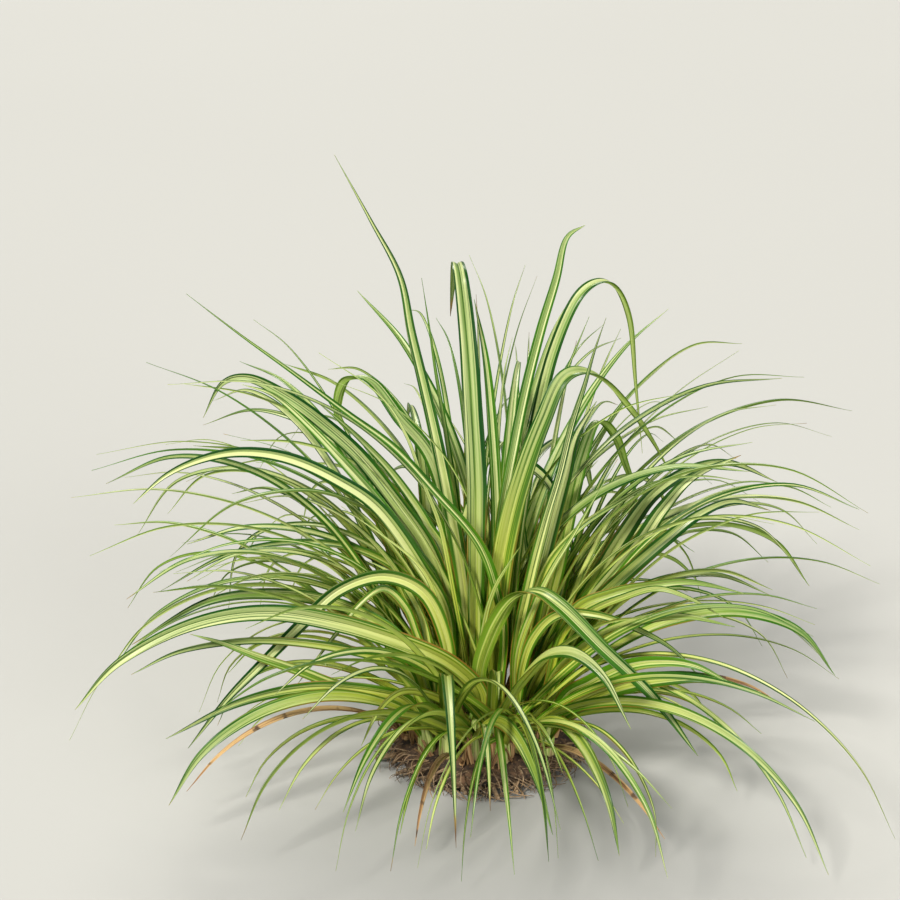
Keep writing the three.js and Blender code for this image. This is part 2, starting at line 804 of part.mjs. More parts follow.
// ---------------------------------------------------------------- dead leaves

/** A withered leaf that droops to the surface from a short peg in its own hole. */
function deadLeafSolid({ at, toward, length }) {
  const root = new THREE.Vector3(...at, DEAD_LEAF.root);
  const leaf = { ...DEAD_LEAF.blade, toward, length };
  const blade = clearBlade(at, root, archingPoints(root, leaf), leaf);
  return deadLeafPeg(at, 0).add(blade);
}

/** The peg, or with a margin its hole. */
function deadLeafPeg([x, y], margin) {
  const { radius, topRadius, floor, top } = DEAD_LEAF.peg;
  const pegTop = new THREE.Vector3(x, y, top);
  if (margin === 0) return pegSolid(new THREE.Vector3(x, y, floor + GAP), pegTop, radius, topRadius);

  const holeRadius = radius + margin / Math.cos(Math.PI / 4);
  return pegSolid(new THREE.Vector3(x, y, floor), pegTop.setZ(ABOVE_ROOTSTOCK), holeRadius, holeRadius);
}

// ---------------------------------------------------------------- assembly

const FINISHES = {
  rootstock: { color: "#4a3a26", roughness: 0.9, metalness: 0 },
  leaf: { color: "#7f9440", roughness: 0.45, metalness: 0 },
  deadLeaf: { color: "#a87b45", roughness: 0.8, metalness: 0 },
};
const tuft = new THREE.Group();
tuft.name = "carex_sedge";

function addPiece(name, solid, finish) {
  placed.push(solid);
  const mesh = new THREE.Mesh(geometryOf(solid), new THREE.MeshStandardMaterial(finish));
  mesh.name = name;
  tuft.add(mesh);
}

addPiece("rootstock", rootstockSolid(), FINISHES.rootstock);

SET_SHOOTS.forEach((shoot, index) => {
  const name = `shoot_${String(index + 1).padStart(2, "0")}`;
  addPiece(name, shootSolid(shoot.at, shoot.leaves), FINISHES.leaf);
});
RULE_SHOOTS.forEach((shoot, index) => {
  const name = `shoot_${String(SET_SHOOTS.length + index + 1).padStart(2, "0")}`;
  addPiece(name, shootSolid(shoot.at, ruleLeaves(shoot, index)), FINISHES.leaf);
});
DEAD_LEAVES.forEach((leaf, index) => {
  addPiece(`dead_leaf_${index + 1}`, deadLeafSolid(leaf), FINISHES.deadLeaf);
});

export default tuft;
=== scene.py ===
"""A tuft of variegated carex sedge: striped, keeled leaves that arch from a low fibrous rootstock."""

import json
import math

import bpy
import numpy as np
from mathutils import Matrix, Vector
from mathutils.bvhtree import BVHTree

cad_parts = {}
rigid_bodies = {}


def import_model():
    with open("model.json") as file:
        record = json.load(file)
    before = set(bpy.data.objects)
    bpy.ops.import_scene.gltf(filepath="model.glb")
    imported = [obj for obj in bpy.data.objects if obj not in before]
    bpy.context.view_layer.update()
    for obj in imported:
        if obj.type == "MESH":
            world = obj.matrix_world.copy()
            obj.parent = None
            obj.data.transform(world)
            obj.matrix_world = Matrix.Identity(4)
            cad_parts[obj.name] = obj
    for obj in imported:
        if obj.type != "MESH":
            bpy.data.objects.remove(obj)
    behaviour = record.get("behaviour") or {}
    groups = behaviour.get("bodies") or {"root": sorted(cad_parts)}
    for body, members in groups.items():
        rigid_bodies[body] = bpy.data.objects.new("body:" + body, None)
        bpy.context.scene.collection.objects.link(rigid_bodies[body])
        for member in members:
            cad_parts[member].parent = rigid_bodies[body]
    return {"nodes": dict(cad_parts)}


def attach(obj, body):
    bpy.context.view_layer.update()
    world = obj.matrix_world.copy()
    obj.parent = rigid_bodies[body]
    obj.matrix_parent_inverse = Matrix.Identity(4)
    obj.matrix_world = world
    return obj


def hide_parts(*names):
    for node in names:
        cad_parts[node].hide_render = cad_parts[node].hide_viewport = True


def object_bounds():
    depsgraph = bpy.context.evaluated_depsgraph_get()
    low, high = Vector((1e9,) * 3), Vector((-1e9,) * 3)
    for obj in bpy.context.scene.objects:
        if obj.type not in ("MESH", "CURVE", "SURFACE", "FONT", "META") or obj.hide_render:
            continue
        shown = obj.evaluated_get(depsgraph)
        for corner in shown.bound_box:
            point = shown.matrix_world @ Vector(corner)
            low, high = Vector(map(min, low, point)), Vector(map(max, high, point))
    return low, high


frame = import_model()
cad_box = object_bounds()

# ---------------------------------------------------------------- studio
# A pale seamless floor under an even key light from the upper left, with a weaker fill on the right
# and a light behind that shines along the arching leaves. The camera looks down 22 degrees.

CAMERA_TARGET = Vector((-0.0141, 0.0494, 0.1224))
CAMERA_DISTANCE = 1.2
CAMERA_ELEVATION = math.radians(22)
CAMERA_LENS = 109
CAMERA_SENSOR = 36
FLOOR_HALF = 6.0

camera = bpy.data.objects.new("camera", bpy.data.cameras.new("camera"))
bpy.context.collection.objects.link(camera)
camera.data.lens = CAMERA_LENS
camera.data.sensor_width = CAMERA_SENSOR
back = Vector((0, -math.cos(CAMERA_ELEVATION), math.sin(CAMERA_ELEVATION)))
camera.location = CAMERA_TARGET + CAMERA_DISTANCE * back
camera.rotation_euler = back.to_track_quat("Z", "Y").to_euler()
bpy.context.scene.camera = camera


def soft_light(name, side, softness, strength, colour):
    """An even light that reaches the middle of the tuft from the side given, soft by so many degrees."""
    lamp = bpy.data.objects.new(name, bpy.data.lights.new(name, "SUN"))
    bpy.context.collection.objects.link(lamp)
    lamp.data.angle = math.radians(softness)
    lamp.data.energy = strength
    lamp.data.color = colour
    lamp.location = CAMERA_TARGET + Vector(side)
    lamp.rotation_euler = Vector(side).to_track_quat("Z", "Y").to_euler()


soft_light("key_light", (-0.85, -1.1, 1.3), 12, 5.2, (1.0, 0.97, 0.90))
soft_light("fill_light", (1.2, -1.4, 0.65), 35, 2.2, (1.0, 0.99, 0.95))
soft_light("back_light", (-0.1, 1.4, 1.25), 22, 3.5, (1.0, 0.97, 0.88))


def put(tree, kind, sockets=(), **settings):
    """A shader node with its settings made, and each named socket linked or set."""
    node = tree.nodes.new("ShaderNode" + kind)
    for name, value in settings.items():
        setattr(node, name, value)
    for name, value in dict(sockets).items():
        if isinstance(value, bpy.types.NodeSocket):
            tree.links.new(value, node.inputs[name])
        else:
            node.inputs[name].default_value = value
    return node


def new_material(name):
    """An empty node material, its tree and the socket that its surface goes into."""
    material = bpy.data.materials.new(name)
    material.use_nodes = True
    material.node_tree.nodes.clear()
    return material, material.node_tree, put(material.node_tree, "OutputMaterial").inputs["Surface"]


# the studio's air is dim, and its far wall is as pale as the floor
world = bpy.data.worlds.new("studio_air")
bpy.context.scene.world = world
world.use_nodes = True
tree = world.node_tree
tree.nodes.clear()
air = put(tree, "Background", {"Color": (0.95, 0.97, 1.0, 1), "Strength": 0.34})
wall = put(tree, "Background", {"Color": (0.74, 0.74, 0.71, 1), "Strength": 1.0})
seen = put(tree, "MixShader", {"Fac": put(tree, "LightPath").outputs["Is Camera Ray"]})
tree.links.new(air.outputs["Background"], seen.inputs[1])
tree.links.new(wall.outputs["Background"], seen.inputs[2])
tree.links.new(seen.outputs["Shader"], put(tree, "OutputWorld").inputs["Surface"])

floor_finish, tree, output = new_material("pale_floor")
grain = put(tree, "TexNoise", {"Scale": 9.0, "Detail": 3.0})
tone = put(tree, "ValToRGB", {"Fac": grain.outputs["Fac"]})
tone.color_ramp.elements[0].color = (0.30, 0.30, 0.29, 1)
tone.color_ramp.elements[1].color = (0.33, 0.33, 0.32, 1)
surface = put(tree, "BsdfPrincipled", {
    "Base Color": tone.outputs["Color"], "Roughness": 0.9, "Specular IOR Level": 0.15})
tree.links.new(surface.outputs["BSDF"], output)

floor_mesh = bpy.data.meshes.new("floor")
corners = [(x * FLOOR_HALF, y * FLOOR_HALF, 0) for x, y in ((-1, -1), (1, -1), (1, 1), (-1, 1))]
floor_mesh.from_pydata(corners, [], [(0, 1, 2, 3)])
floor_mesh.materials.append(floor_finish)
floor = bpy.data.objects.new("floor", floor_mesh)
bpy.context.collection.objects.link(floor)

bpy.context.scene.view_settings.view_transform = "Standard"

# ---------------------------------------------------------------- rootstock
# The woody crown that all the shoots grow from. It is cut flat underneath, so that the tuft stands,
# and is ringed by trimmed root stubs and a felt of fine dark roots.

MM = 0.001
ROOTSTOCK = {"foot": 34, "belly": 40, "belly_height": 5, "shoulder": 36, "shoulder_height": 10,
             "crown": 18, "top": 13.5}
SWELLS = ((0.035, 3, 1), (0.025, 7, 2.4))  # share, waves and phase
KNOBS = {"count": 70, "proud": 1.1, "width": 1.7, "height": 1.8}
ROOT_SEED = 977
# a pair is the middle and half the range of a draw; round the crown, stubs turn and trail by degrees
# and fine roots by radians
STUBS = {"count": 26, "turn": 7, "trail": 16, "sunk": 4, "reach": (5, 4.5),
         "start": (4.4, 1), "end": (2.4, 0.8), "radii": (1.7, 1.35, 1.0, 0.85)}
FINE_ROOTS = {"count": 420, "height": (5.5, 4.2), "reach": (4.0, 4.5), "trail": 0.42, "radius": (0.3, 0.14)}
OLD_SHEATHS = {"count": 60, "foot": 7, "lean": 1.12, "height": (20, 4)}
GOLDEN_ANGLE = math.pi * (3 - math.sqrt(5))


def seeded_draws(seed):
    """Even draws from 0 to 1 that come out alike on every run."""
    whole = 0xFFFFFFFF
    state = seed
    while True:
        state = (state + 0x6D2B79F5) & whole
        bits = (state ^ state >> 15) * (state | 1) & whole
        bits ^= bits + (bits ^ bits >> 7) * (bits | 61) & whole
        yield (bits ^ bits >> 14) / (whole + 1)


def spread(draw, centre, half):
    return centre + half * (2 * next(draw) - 1)


def mix(start, end, share):
    return start + (end - start) * share


def smooth(low, high, value):
    share = np.clip((value - low) / (high - low), 0, 1)
    return share * share * (3 - 2 * share)


def skin(rings, ends, **marks):
    """A closed skin over equal rings, drawn to a point at each end, with its marks and its map.

    A mark is one value, or one for each corner of the rings. The map unrolls the skin.
    """
    count, sides = rings.shape[:2]
    corner = np.arange(count * sides).reshape(count, sides)
    turned = np.roll(corner, -1, axis=1)
    quads = np.stack([corner[:-1], corner[1:], turned[1:], turned[:-1]], axis=-1).reshape(-1, 4)
    first, last = count * sides, count * sides + 1
    fans = np.concatenate([
        np.stack([np.full(sides, first), corner[0], turned[0]], axis=-1),
        np.stack([corner[-1], np.full(sides, last), turned[-1]], axis=-1)])

    left = np.arange(sides) / sides
    right = left + 1 / sides
    height = (np.arange(count) + 1) / (count + 1)
    low, high = height[:-1, None] + 0 * left, height[1:, None] + 0 * left
    left_all, right_all = left + 0 * low, right + 0 * low
    quad_map = np.stack([left_all, low, left_all, high, right_all, high, right_all, low], axis=-1)
    middle = (left + right) / 2
    bottom, top = height[0] + 0 * left, height[-1] + 0 * left
    fan_map = np.concatenate([
        np.stack([middle, 0 * left, left, bottom, right, bottom], axis=-1),
        np.stack([left, top, middle, 1 + 0 * left, right, top], axis=-1)])

    made = {}
    for name, value in marks.items():
        value = np.array(value, float)
        if value.shape[:2] != (count, sides):
            value = np.broadcast_to(value, (count, sides) + value.shape).copy()
        flat = value.reshape(count * sides, -1)
        made[name] = np.vstack([flat, flat[:sides].mean(axis=0), flat[-sides:].mean(axis=0)])
    return {"points": np.vstack([rings.reshape(-1, 3), ends]), "quads": quads, "fans": fans,
            "quad_map": quad_map.reshape(-1, 2), "fan_map": fan_map.reshape(-1, 2), "marks": made}


def skinned_object(name, skins, materials):
    """One mesh object from skins in millimetres. Each skin may name which material it wears."""
    points = np.vstack([part["points"] for part in skins]) * MM
    starts = np.cumsum([0] + [len(part["points"]) for part in skins[:-1]])
    quads = np.vstack([part["quads"] + start for part, start in zip(skins, starts)])
    fans = np.vstack([part["fans"] + start for part, start in zip(skins, starts)])
    corners = np.concatenate([quads.ravel(), fans.ravel()])
    sizes = np.concatenate([np.full(len(quads), 4), np.full(len(fans), 3)])

    mesh = bpy.data.meshes.new(name)
    mesh.vertices.add(len(points))
    mesh.vertices.foreach_set("co", points.ravel())
    mesh.loops.add(len(corners))
    mesh.loops.foreach_set("vertex_index", corners)
    mesh.polygons.add(len(sizes))
    mesh.polygons.foreach_set("loop_start", np.cumsum(sizes) - sizes)
    mesh.polygons.foreach_set("material_index", np.concatenate([
        np.concatenate([np.full(len(part[kind]), part.get("wears", 0)) for part in skins])
        for kind in ("quads", "fans")]))
    for mark in skins[0]["marks"]:
        values = np.vstack([part["marks"][mark] for part in skins])
        kind, field = ("FLOAT", "value") if values.shape[1] == 1 else ("FLOAT_VECTOR", "vector")
        mesh.attributes.new(mark, kind, "POINT").data.foreach_set(field, values.ravel())

    strips = []
    for kind in ("quad_map", "fan_map"):
        for number, part in enumerate(skins):
            across = (number + 0.04 + 0.92 * part[kind][:, 0]) / len(skins)
            strips.append(np.stack([across, 0.005 + 0.99 * part[kind][:, 1]], axis=-1))
    mesh.uv_layers.new(name="OFBake").uv.foreach_set("vector", np.vstack(strips).ravel())
    mesh.update()
    mesh.validate()
    mesh.shade_smooth()
    mesh.set_sharp_from_angle(angle=math.radians(55))
    for material in materials:
        mesh.materials.append(material)
    made = bpy.data.objects.new(name, mesh)
    bpy.context.collection.objects.link(made)
    return made


def unit(vectors):
    return vectors / np.linalg.norm(vectors, axis=-1, keepdims=True)


def smooth_line(knots, shares):
    """Places and directions at the given shares of a smooth line through the knots."""
    knots = np.array(knots, float)
    knots = np.vstack([2 * knots[0] - knots[1], knots, 2 * knots[-1] - knots[-2]])
    spans = len(knots) - 3
    span = np.minimum((shares * spans).astype(int), spans - 1)
    step = (shares * spans - span)[:, None]
    before, start, end, after = (knots[span + index] for index in range(4))
    leave, arrive = (end - before) / 2, (after - start) / 2
    second = 3 * (end - start) - 2 * leave - arrive
    third = 2 * (start - end) + leave + arrive
    places = start + step * (leave + step * (second + step * third))
    return places, unit(leave + step * (2 * second + 3 * step * third))


def strand(knots, radii, sides, count, **marks):
    """A round root or fibre along a smooth line, whose radius runs through the radii."""
    shares = np.linspace(0, 1, count)
    places, ahead = smooth_line(knots, shares)
    reference = np.array([0, 0, 1.0]) if abs(ahead[0][2]) < 0.8 else np.array([1.0, 0, 0])
    side = unit(np.cross(ahead, reference))
    other = np.cross(ahead, side)
    angles = np.arange(sides) * 2 * math.pi / sides
    radius = np.interp(shares, np.linspace(0, 1, len(radii)), radii)[:, None, None]
    rings = places[:, None] + radius * (
        np.cos(angles)[None, :, None] * side[:, None] - np.sin(angles)[None, :, None] * other[:, None])
    reach = np.broadcast_to(shares[:, None], (count, sides))
    ends = [places[0] - 0.3 * radii[0] * ahead[0], places[-1] + 0.3 * radii[-1] * ahead[-1]]
    return skin(rings, ends, along=reach, **marks)


def on_side(angle, distance, height):
    return np.array([distance * math.cos(angle), distance * math.sin(angle), height])


def swell(angle):
    return 1 + sum(share * np.sin(waves * angle + phase) for share, waves, phase in SWELLS)


def crown_skin(draw):
    """The woody body: rings that follow its profile, roughened by knobs where roots were."""
    top = ROOTSTOCK["top"]
    profile = [(2, 0.0), (ROOTSTOCK["foot"], 0.0), (37.6, 1.6),
               (ROOTSTOCK["belly"], ROOTSTOCK["belly_height"]), (39.0, 7.6),
               (ROOTSTOCK["shoulder"], ROOTSTOCK["shoulder_height"]), (31, 11.2), (26, 12.2),
               (ROOTSTOCK["crown"], top), (9, top), (1, top)]
    angles = np.linspace(0, 2 * math.pi, 144, endpoint=False)
    knob_places = [(next(draw) * 2 * math.pi, spread(draw, 5, 4)) for _ in range(KNOBS["count"])]
    rings = []
    for radius, height in profile:
        radii = radius * swell(angles)
        if 1 < height < 11:
            for knob_angle, knob_height in knob_places:
                off = (angles - knob_angle + math.pi) % (2 * math.pi) - math.pi
                radii = radii + KNOBS["proud"] * np.exp(
                    -((off * radius / KNOBS["width"]) ** 2) - ((height - knob_height) / KNOBS["height"]) ** 2)
            radii = radii + 0.35 * np.sin(31 * angles + height) + 0.25 * np.sin(53 * angles - 2 * height)
        rings.append(np.stack([radii * np.cos(angles), radii * np.sin(angles), 0 * angles + height], axis=-1))
    rings = np.array(rings)
    return skin(rings, [[0, 0, 0], [0, 0, top]], along=rings[..., 2] / top)


draw = seeded_draws(ROOT_SEED)
root_stubs = []
for stub in range(STUBS["count"]):
    angle = math.radians(spread(draw, 360 * stub / STUBS["count"], STUBS["turn"]))
    trail = math.radians(spread(draw, 0, STUBS["trail"]))
    reach = ROOTSTOCK["belly"] + spread(draw, *STUBS["reach"])
    start = on_side(angle, ROOTSTOCK["foot"] - STUBS["sunk"], spread(draw, *STUBS["start"]))
    end = on_side(angle + trail, reach, spread(draw, *STUBS["end"]))
    bend = (start + end) / 2 + [0, 0, 0.7]
    root_stubs.append(strand([start, bend, end], STUBS["radii"], 10, 12))

old_sheaths = []
for tip in range(OLD_SHEATHS["count"]):
    distance = ROOTSTOCK["shoulder"] * math.sqrt((tip + 0.5) / OLD_SHEATHS["count"])
    foot = on_side(GOLDEN_ANGLE * tip, distance, OLD_SHEATHS["foot"])
    old_sheaths.append((foot, foot * OLD_SHEATHS["lean"], spread(draw, *OLD_SHEATHS["height"])))

fine_roots = []
for root in range(FINE_ROOTS["count"]):
    angle = next(draw) * 2 * math.pi
    height = spread(draw, *FINE_ROOTS["height"])
    reach = ROOTSTOCK["belly"] + spread(draw, *FINE_ROOTS["reach"])
    trail = spread(draw, 0, FINE_ROOTS["trail"])
    radius = spread(draw, *FINE_ROOTS["radius"])
    knots = [on_side(angle, ROOTSTOCK["shoulder"], height),
             on_side(angle + 0.3 * trail, mix(37, reach, 0.6), height + spread(draw, 0.5, 1)),
             on_side(angle + 0.7 * trail, reach, height * 0.6 + 0.8),
             on_side(angle + trail, reach - spread(draw, 0.5, 3), 0.7)]
    fine_roots.append(strand(knots, [radius, 0.8 * radius, 0.35 * radius], 5, 12))


def node_group(name, inputs, outputs):
    """An empty shader group with the inputs and outputs given, and the nodes for both."""
    group = bpy.data.node_groups.new(name, "ShaderNodeTree")
    for label, kind in inputs:
        group.interface.new_socket(label, in_out="INPUT", socket_type="NodeSocket" + kind)
    for label, kind in outputs:
        group.interface.new_socket(label, in_out="OUTPUT", socket_type="NodeSocket" + kind)
    return group, group.nodes.new("NodeGroupInput"), group.nodes.new("NodeGroupOutput")


def reckon(tree, operation, first, second=0.5, third=0.5):
    """A Math node's result."""
    return put(tree, "Math", {0: first, 1: second, 2: third}, operation=operation).outputs[0]


def times(tree, first, second):
    return reckon(tree, "MULTIPLY", first, second)


def less(tree, first, second):
    return reckon(tree, "SUBTRACT", first, second)


def times_plus(tree, first, second, added):
    return reckon(tree, "MULTIPLY_ADD", first, second, added)


def blend_of(tree, share, first, second, how="MIX"):
    """Two colours mixed."""
    first, second = (value if isinstance(value, bpy.types.NodeSocket) else (*value, 1)
                     for value in (first, second))
    return put(tree, "Mix", {0: share, 6: first, 7: second},
               data_type="RGBA", blend_type=how, clamp_factor=True).outputs[2]


def noise_of(tree, place, scale, detail=2.0, roughness=0.5):
    """Even noise from 0 to 1."""
    return put(tree, "TexNoise", {
        "Vector": place, "Scale": scale, "Detail": detail, "Roughness": roughness}).outputs["Fac"]


def step_of(tree, value, low, high):
    """A smooth step from 0 at low to 1 at high."""
    return put(tree, "MapRange", {"Value": value, "From Min": low, "From Max": high},
               interpolation_type="SMOOTHSTEP").outputs["Result"]


def rough_surface(tree, into, colour, roughness, height, strength, distance):
    """A surface whose normals follow a relief, joined to a socket. Returns it and the relief."""
    bump = put(tree, "Bump", {"Height": height, "Strength": strength, "Distance": distance})
    surface = put(tree, "BsdfPrincipled", {
        "Base Color": colour, "Normal": bump.outputs["Normal"], "Roughness": roughness})
    tree.links.new(surface.outputs["BSDF"], into)
    return surface, bump


bark, tree, output = new_material("root_bark")
place = put(tree, "TexCoord").outputs["Object"]
coarse = noise_of(tree, place, 210.0, 6.0, 0.65)
fine = noise_of(tree, place, 900.0, 4.0)
earthy = blend_of(tree, step_of(tree, coarse, 0.38, 0.66), (0.018, 0.011, 0.007), (0.115, 0.062, 0.030))
colour = blend_of(tree, step_of(tree, fine, 0.58, 0.75), earthy, (0.23, 0.15, 0.085))
relief = times_plus(tree, fine, 0.4, coarse)
rough_surface(tree, output, colour, step_of(tree, fine, -1.6, 0.9), relief, 0.9, 0.0007)

fibre, tree, output = new_material("root_fibre")
place = put(tree, "TexCoord").outputs["Object"]
patches = noise_of(tree, place, 120.0, 3.0)
rings = noise_of(tree, place, 1300.0)
colour = blend_of(tree, step_of(tree, patches, 0.38, 0.64), (0.045, 0.026, 0.014), (0.26, 0.165, 0.085))
colour = blend_of(tree, step_of(tree, rings, 0.4, 0.8), colour, (0.32, 0.23, 0.14))
rough_surface(tree, output, colour, 0.85, rings, 0.7, 0.0003)

crown = skinned_object("rootstock_crown", [crown_skin(draw)], [bark])
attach(crown, "root")
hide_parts("rootstock")
for name, skins in (("root_stubs", root_stubs), ("fine_roots", fine_roots)):
    piece = skinned_object(name, skins, [fibre])
    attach(piece, "root")

# ---------------------------------------------------------------- leaf blades
# A sedge blade is a long, tough strip, folded along its midrib and keeled beneath, with a channel on
# top. Green margins and fine green lines run its whole length on either side of a cream middle.

FLOOR_CLEARANCE = 2.5
ARCH_CHORDS = 6
SWINGS = (0, 2, -2, 4, -4, 7, -7, 10, -10, 14, -14, 20, -20, 27, -27)
LIFTS = (0, 3, -3, 6, -6)
LEAF_ROOT = {"height": 15, "step": 1.3}
FOLD = ((0, 40), (0.3, 15), (1, 28))  # share of the length, and degrees that each half is lifted
NECK = 0.84
SECTION_SPACING = 2.7
LEAST_SECTIONS = 9
ACROSS = np.array([-1, -0.93, -0.78, -0.58, -0.36, -0.17, -0.06, 0, 0.06, 0.17, 0.36, 0.58, 0.78, 0.93, 1])
KEEL_ROUNDING = 0.10
BOW = {"bulge": 0.075, "edge_drop": 0.07, "ripple": 0.045}  # shares of half the width
# half the blade's thickness at its edge and what the middle adds, then its keel and its groove; all
# of them shrink where half the width is less than the last
BLADE = {"edge": 0.09, "middle": 0.08, "keel": 0.42, "keel_width": 0.09,
         "groove": 0.10, "groove_width": 0.06, "thins_under": 1.2}
WAVER = {"degrees": 4, "length": (26, 8)}
RIPPLE = {"length": (7, 2.5), "patches": 23}
STRAYS = {"middle": 0.05, "yellow": 0.10, "depth": 0.10, "fresh": 0.15}  # from leaf to leaf
BROWNED = 0.08  # most of a leaf's length that is withered at its tip
# how fine each pattern is across and along the leaf, and its detail
VEINS = {"Height": (2.6, 0.012, 2.0), "Lines": (1.25, 0.006, 1.0), "Streaks": (1.1, 0.03, 3.0)}

# How a leaf is striped: the left and the right end of its cream middle, from -1 to 1 across, then
# how yellow and how deep the middle's colour is, how fresh the green of the margins is, and how much
# deeper the colour is toward 1 than in the middle. That deepening of one half is partly the leaf's own
# tone and partly painted shade on the less lit half of the fold.
STRIPINGS = {
    "cream": (-0.46, 0.44, 0.30, 0.40, 0.40, -0.75),
    "half": (-0.50, 0.62, 0.20, 0.44, 0.25, -0.60),
    "banked": (-0.70, 0.84, 0.30, 0.40, 0.20, -0.60),
    "silver": (-0.58, 0.62, 0.08, 0.45, 0.45, 0.35),
    "white": (-0.44, 0.36, 0.00, -0.15, 0.15, 0.00),
    "streaked": (-0.70, 0.50, 0.00, 0.22, 0.10, 0.60),
    "olive": (-0.70, 0.72, 0.45, 0.80, 0.30, 0.00),
    "golden": (-0.72, 0.76, 1.00, 0.55, 0.75, 0.00),
    "lined": (-0.84, 0.84, 0.85, 0.76, 0.45, 0.00),
    "dark": (-0.48, 0.58, 0.35, 0.48, 0.15, 0.20),
    "green": (-0.30, 0.36, 0.50, 0.60, 0.50, 0.00),
    "broad": (-0.56, 0.84, 0.00, 0.60, 0.12, -0.15),
    "fresh": (-0.66, 0.60, 0.35, 0.62, 0.80, 0.00),
    "bright": (-0.34, 0.30, 0.10, 0.04, 0.60, 0.00),
    "keeled": (-0.36, 0.44, 0.12, 0.30, 0.35, 0.20),
    "sage": (-0.55, 0.78, 0.00, 0.52, 0.10, -0.25),
    "thread": (-0.26, 0.22, 0.25, 0.12, 0.45, 0.00),
}


def turned(vectors, axis, degrees):
    """Vectors turned about a unit axis, or each about its own."""
    angle = np.radians(degrees)
    cos, sin = np.cos(angle), np.sin(angle)
    if np.ndim(angle):
        cos, sin = cos[:, None], sin[:, None]
    along = np.sum(vectors * axis, axis=-1, keepdims=True)
    return vectors * cos + np.cross(axis, vectors) * sin + axis * along * (1 - cos)


def arching_points(root, leaf):
    """Points of an arching leaf, whose climb turns into a droop as the power of its length."""
    place = np.array(root, float)
    points = []
    for chord in range(ARCH_CHORDS):
        along = (chord + 0.5) / ARCH_CHORDS
        climb = math.radians(leaf["rise"] - leaf["droop"] * along ** leaf["late_bend"])
        heading = math.radians(leaf["toward"] + leaf["veer"] * along)
        step = [math.cos(climb) * math.cos(heading), math.cos(climb) * math.sin(heading), math.sin(climb)]
        place = place + np.array(step) * leaf["length"] / ARCH_CHORDS
        points.append(place)
        if place[2] < FLOOR_CLEARANCE:
            place[2] = FLOOR_CLEARANCE
            break
    return np.array(points)


def as_grown(root, points, node):
    """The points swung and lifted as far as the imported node's leaf is, or None if it has no such leaf."""
    corners = np.empty(len(node.data.vertices) * 3)
    node.data.vertices.foreach_get("co", corners)
    corners = corners.reshape(-1, 3) / MM
    for lift in LIFTS:
        for swing in SWINGS:
            off = points - root
            level = unit(np.array([-off[-1][1], off[-1][0], 0]))
            moved = root + turned(turned(off, level, -lift), np.array([0, 0, 1.0]), swing)
            if np.linalg.norm(corners - moved[-1], axis=1).min() < 0.05:
                return moved
    return None


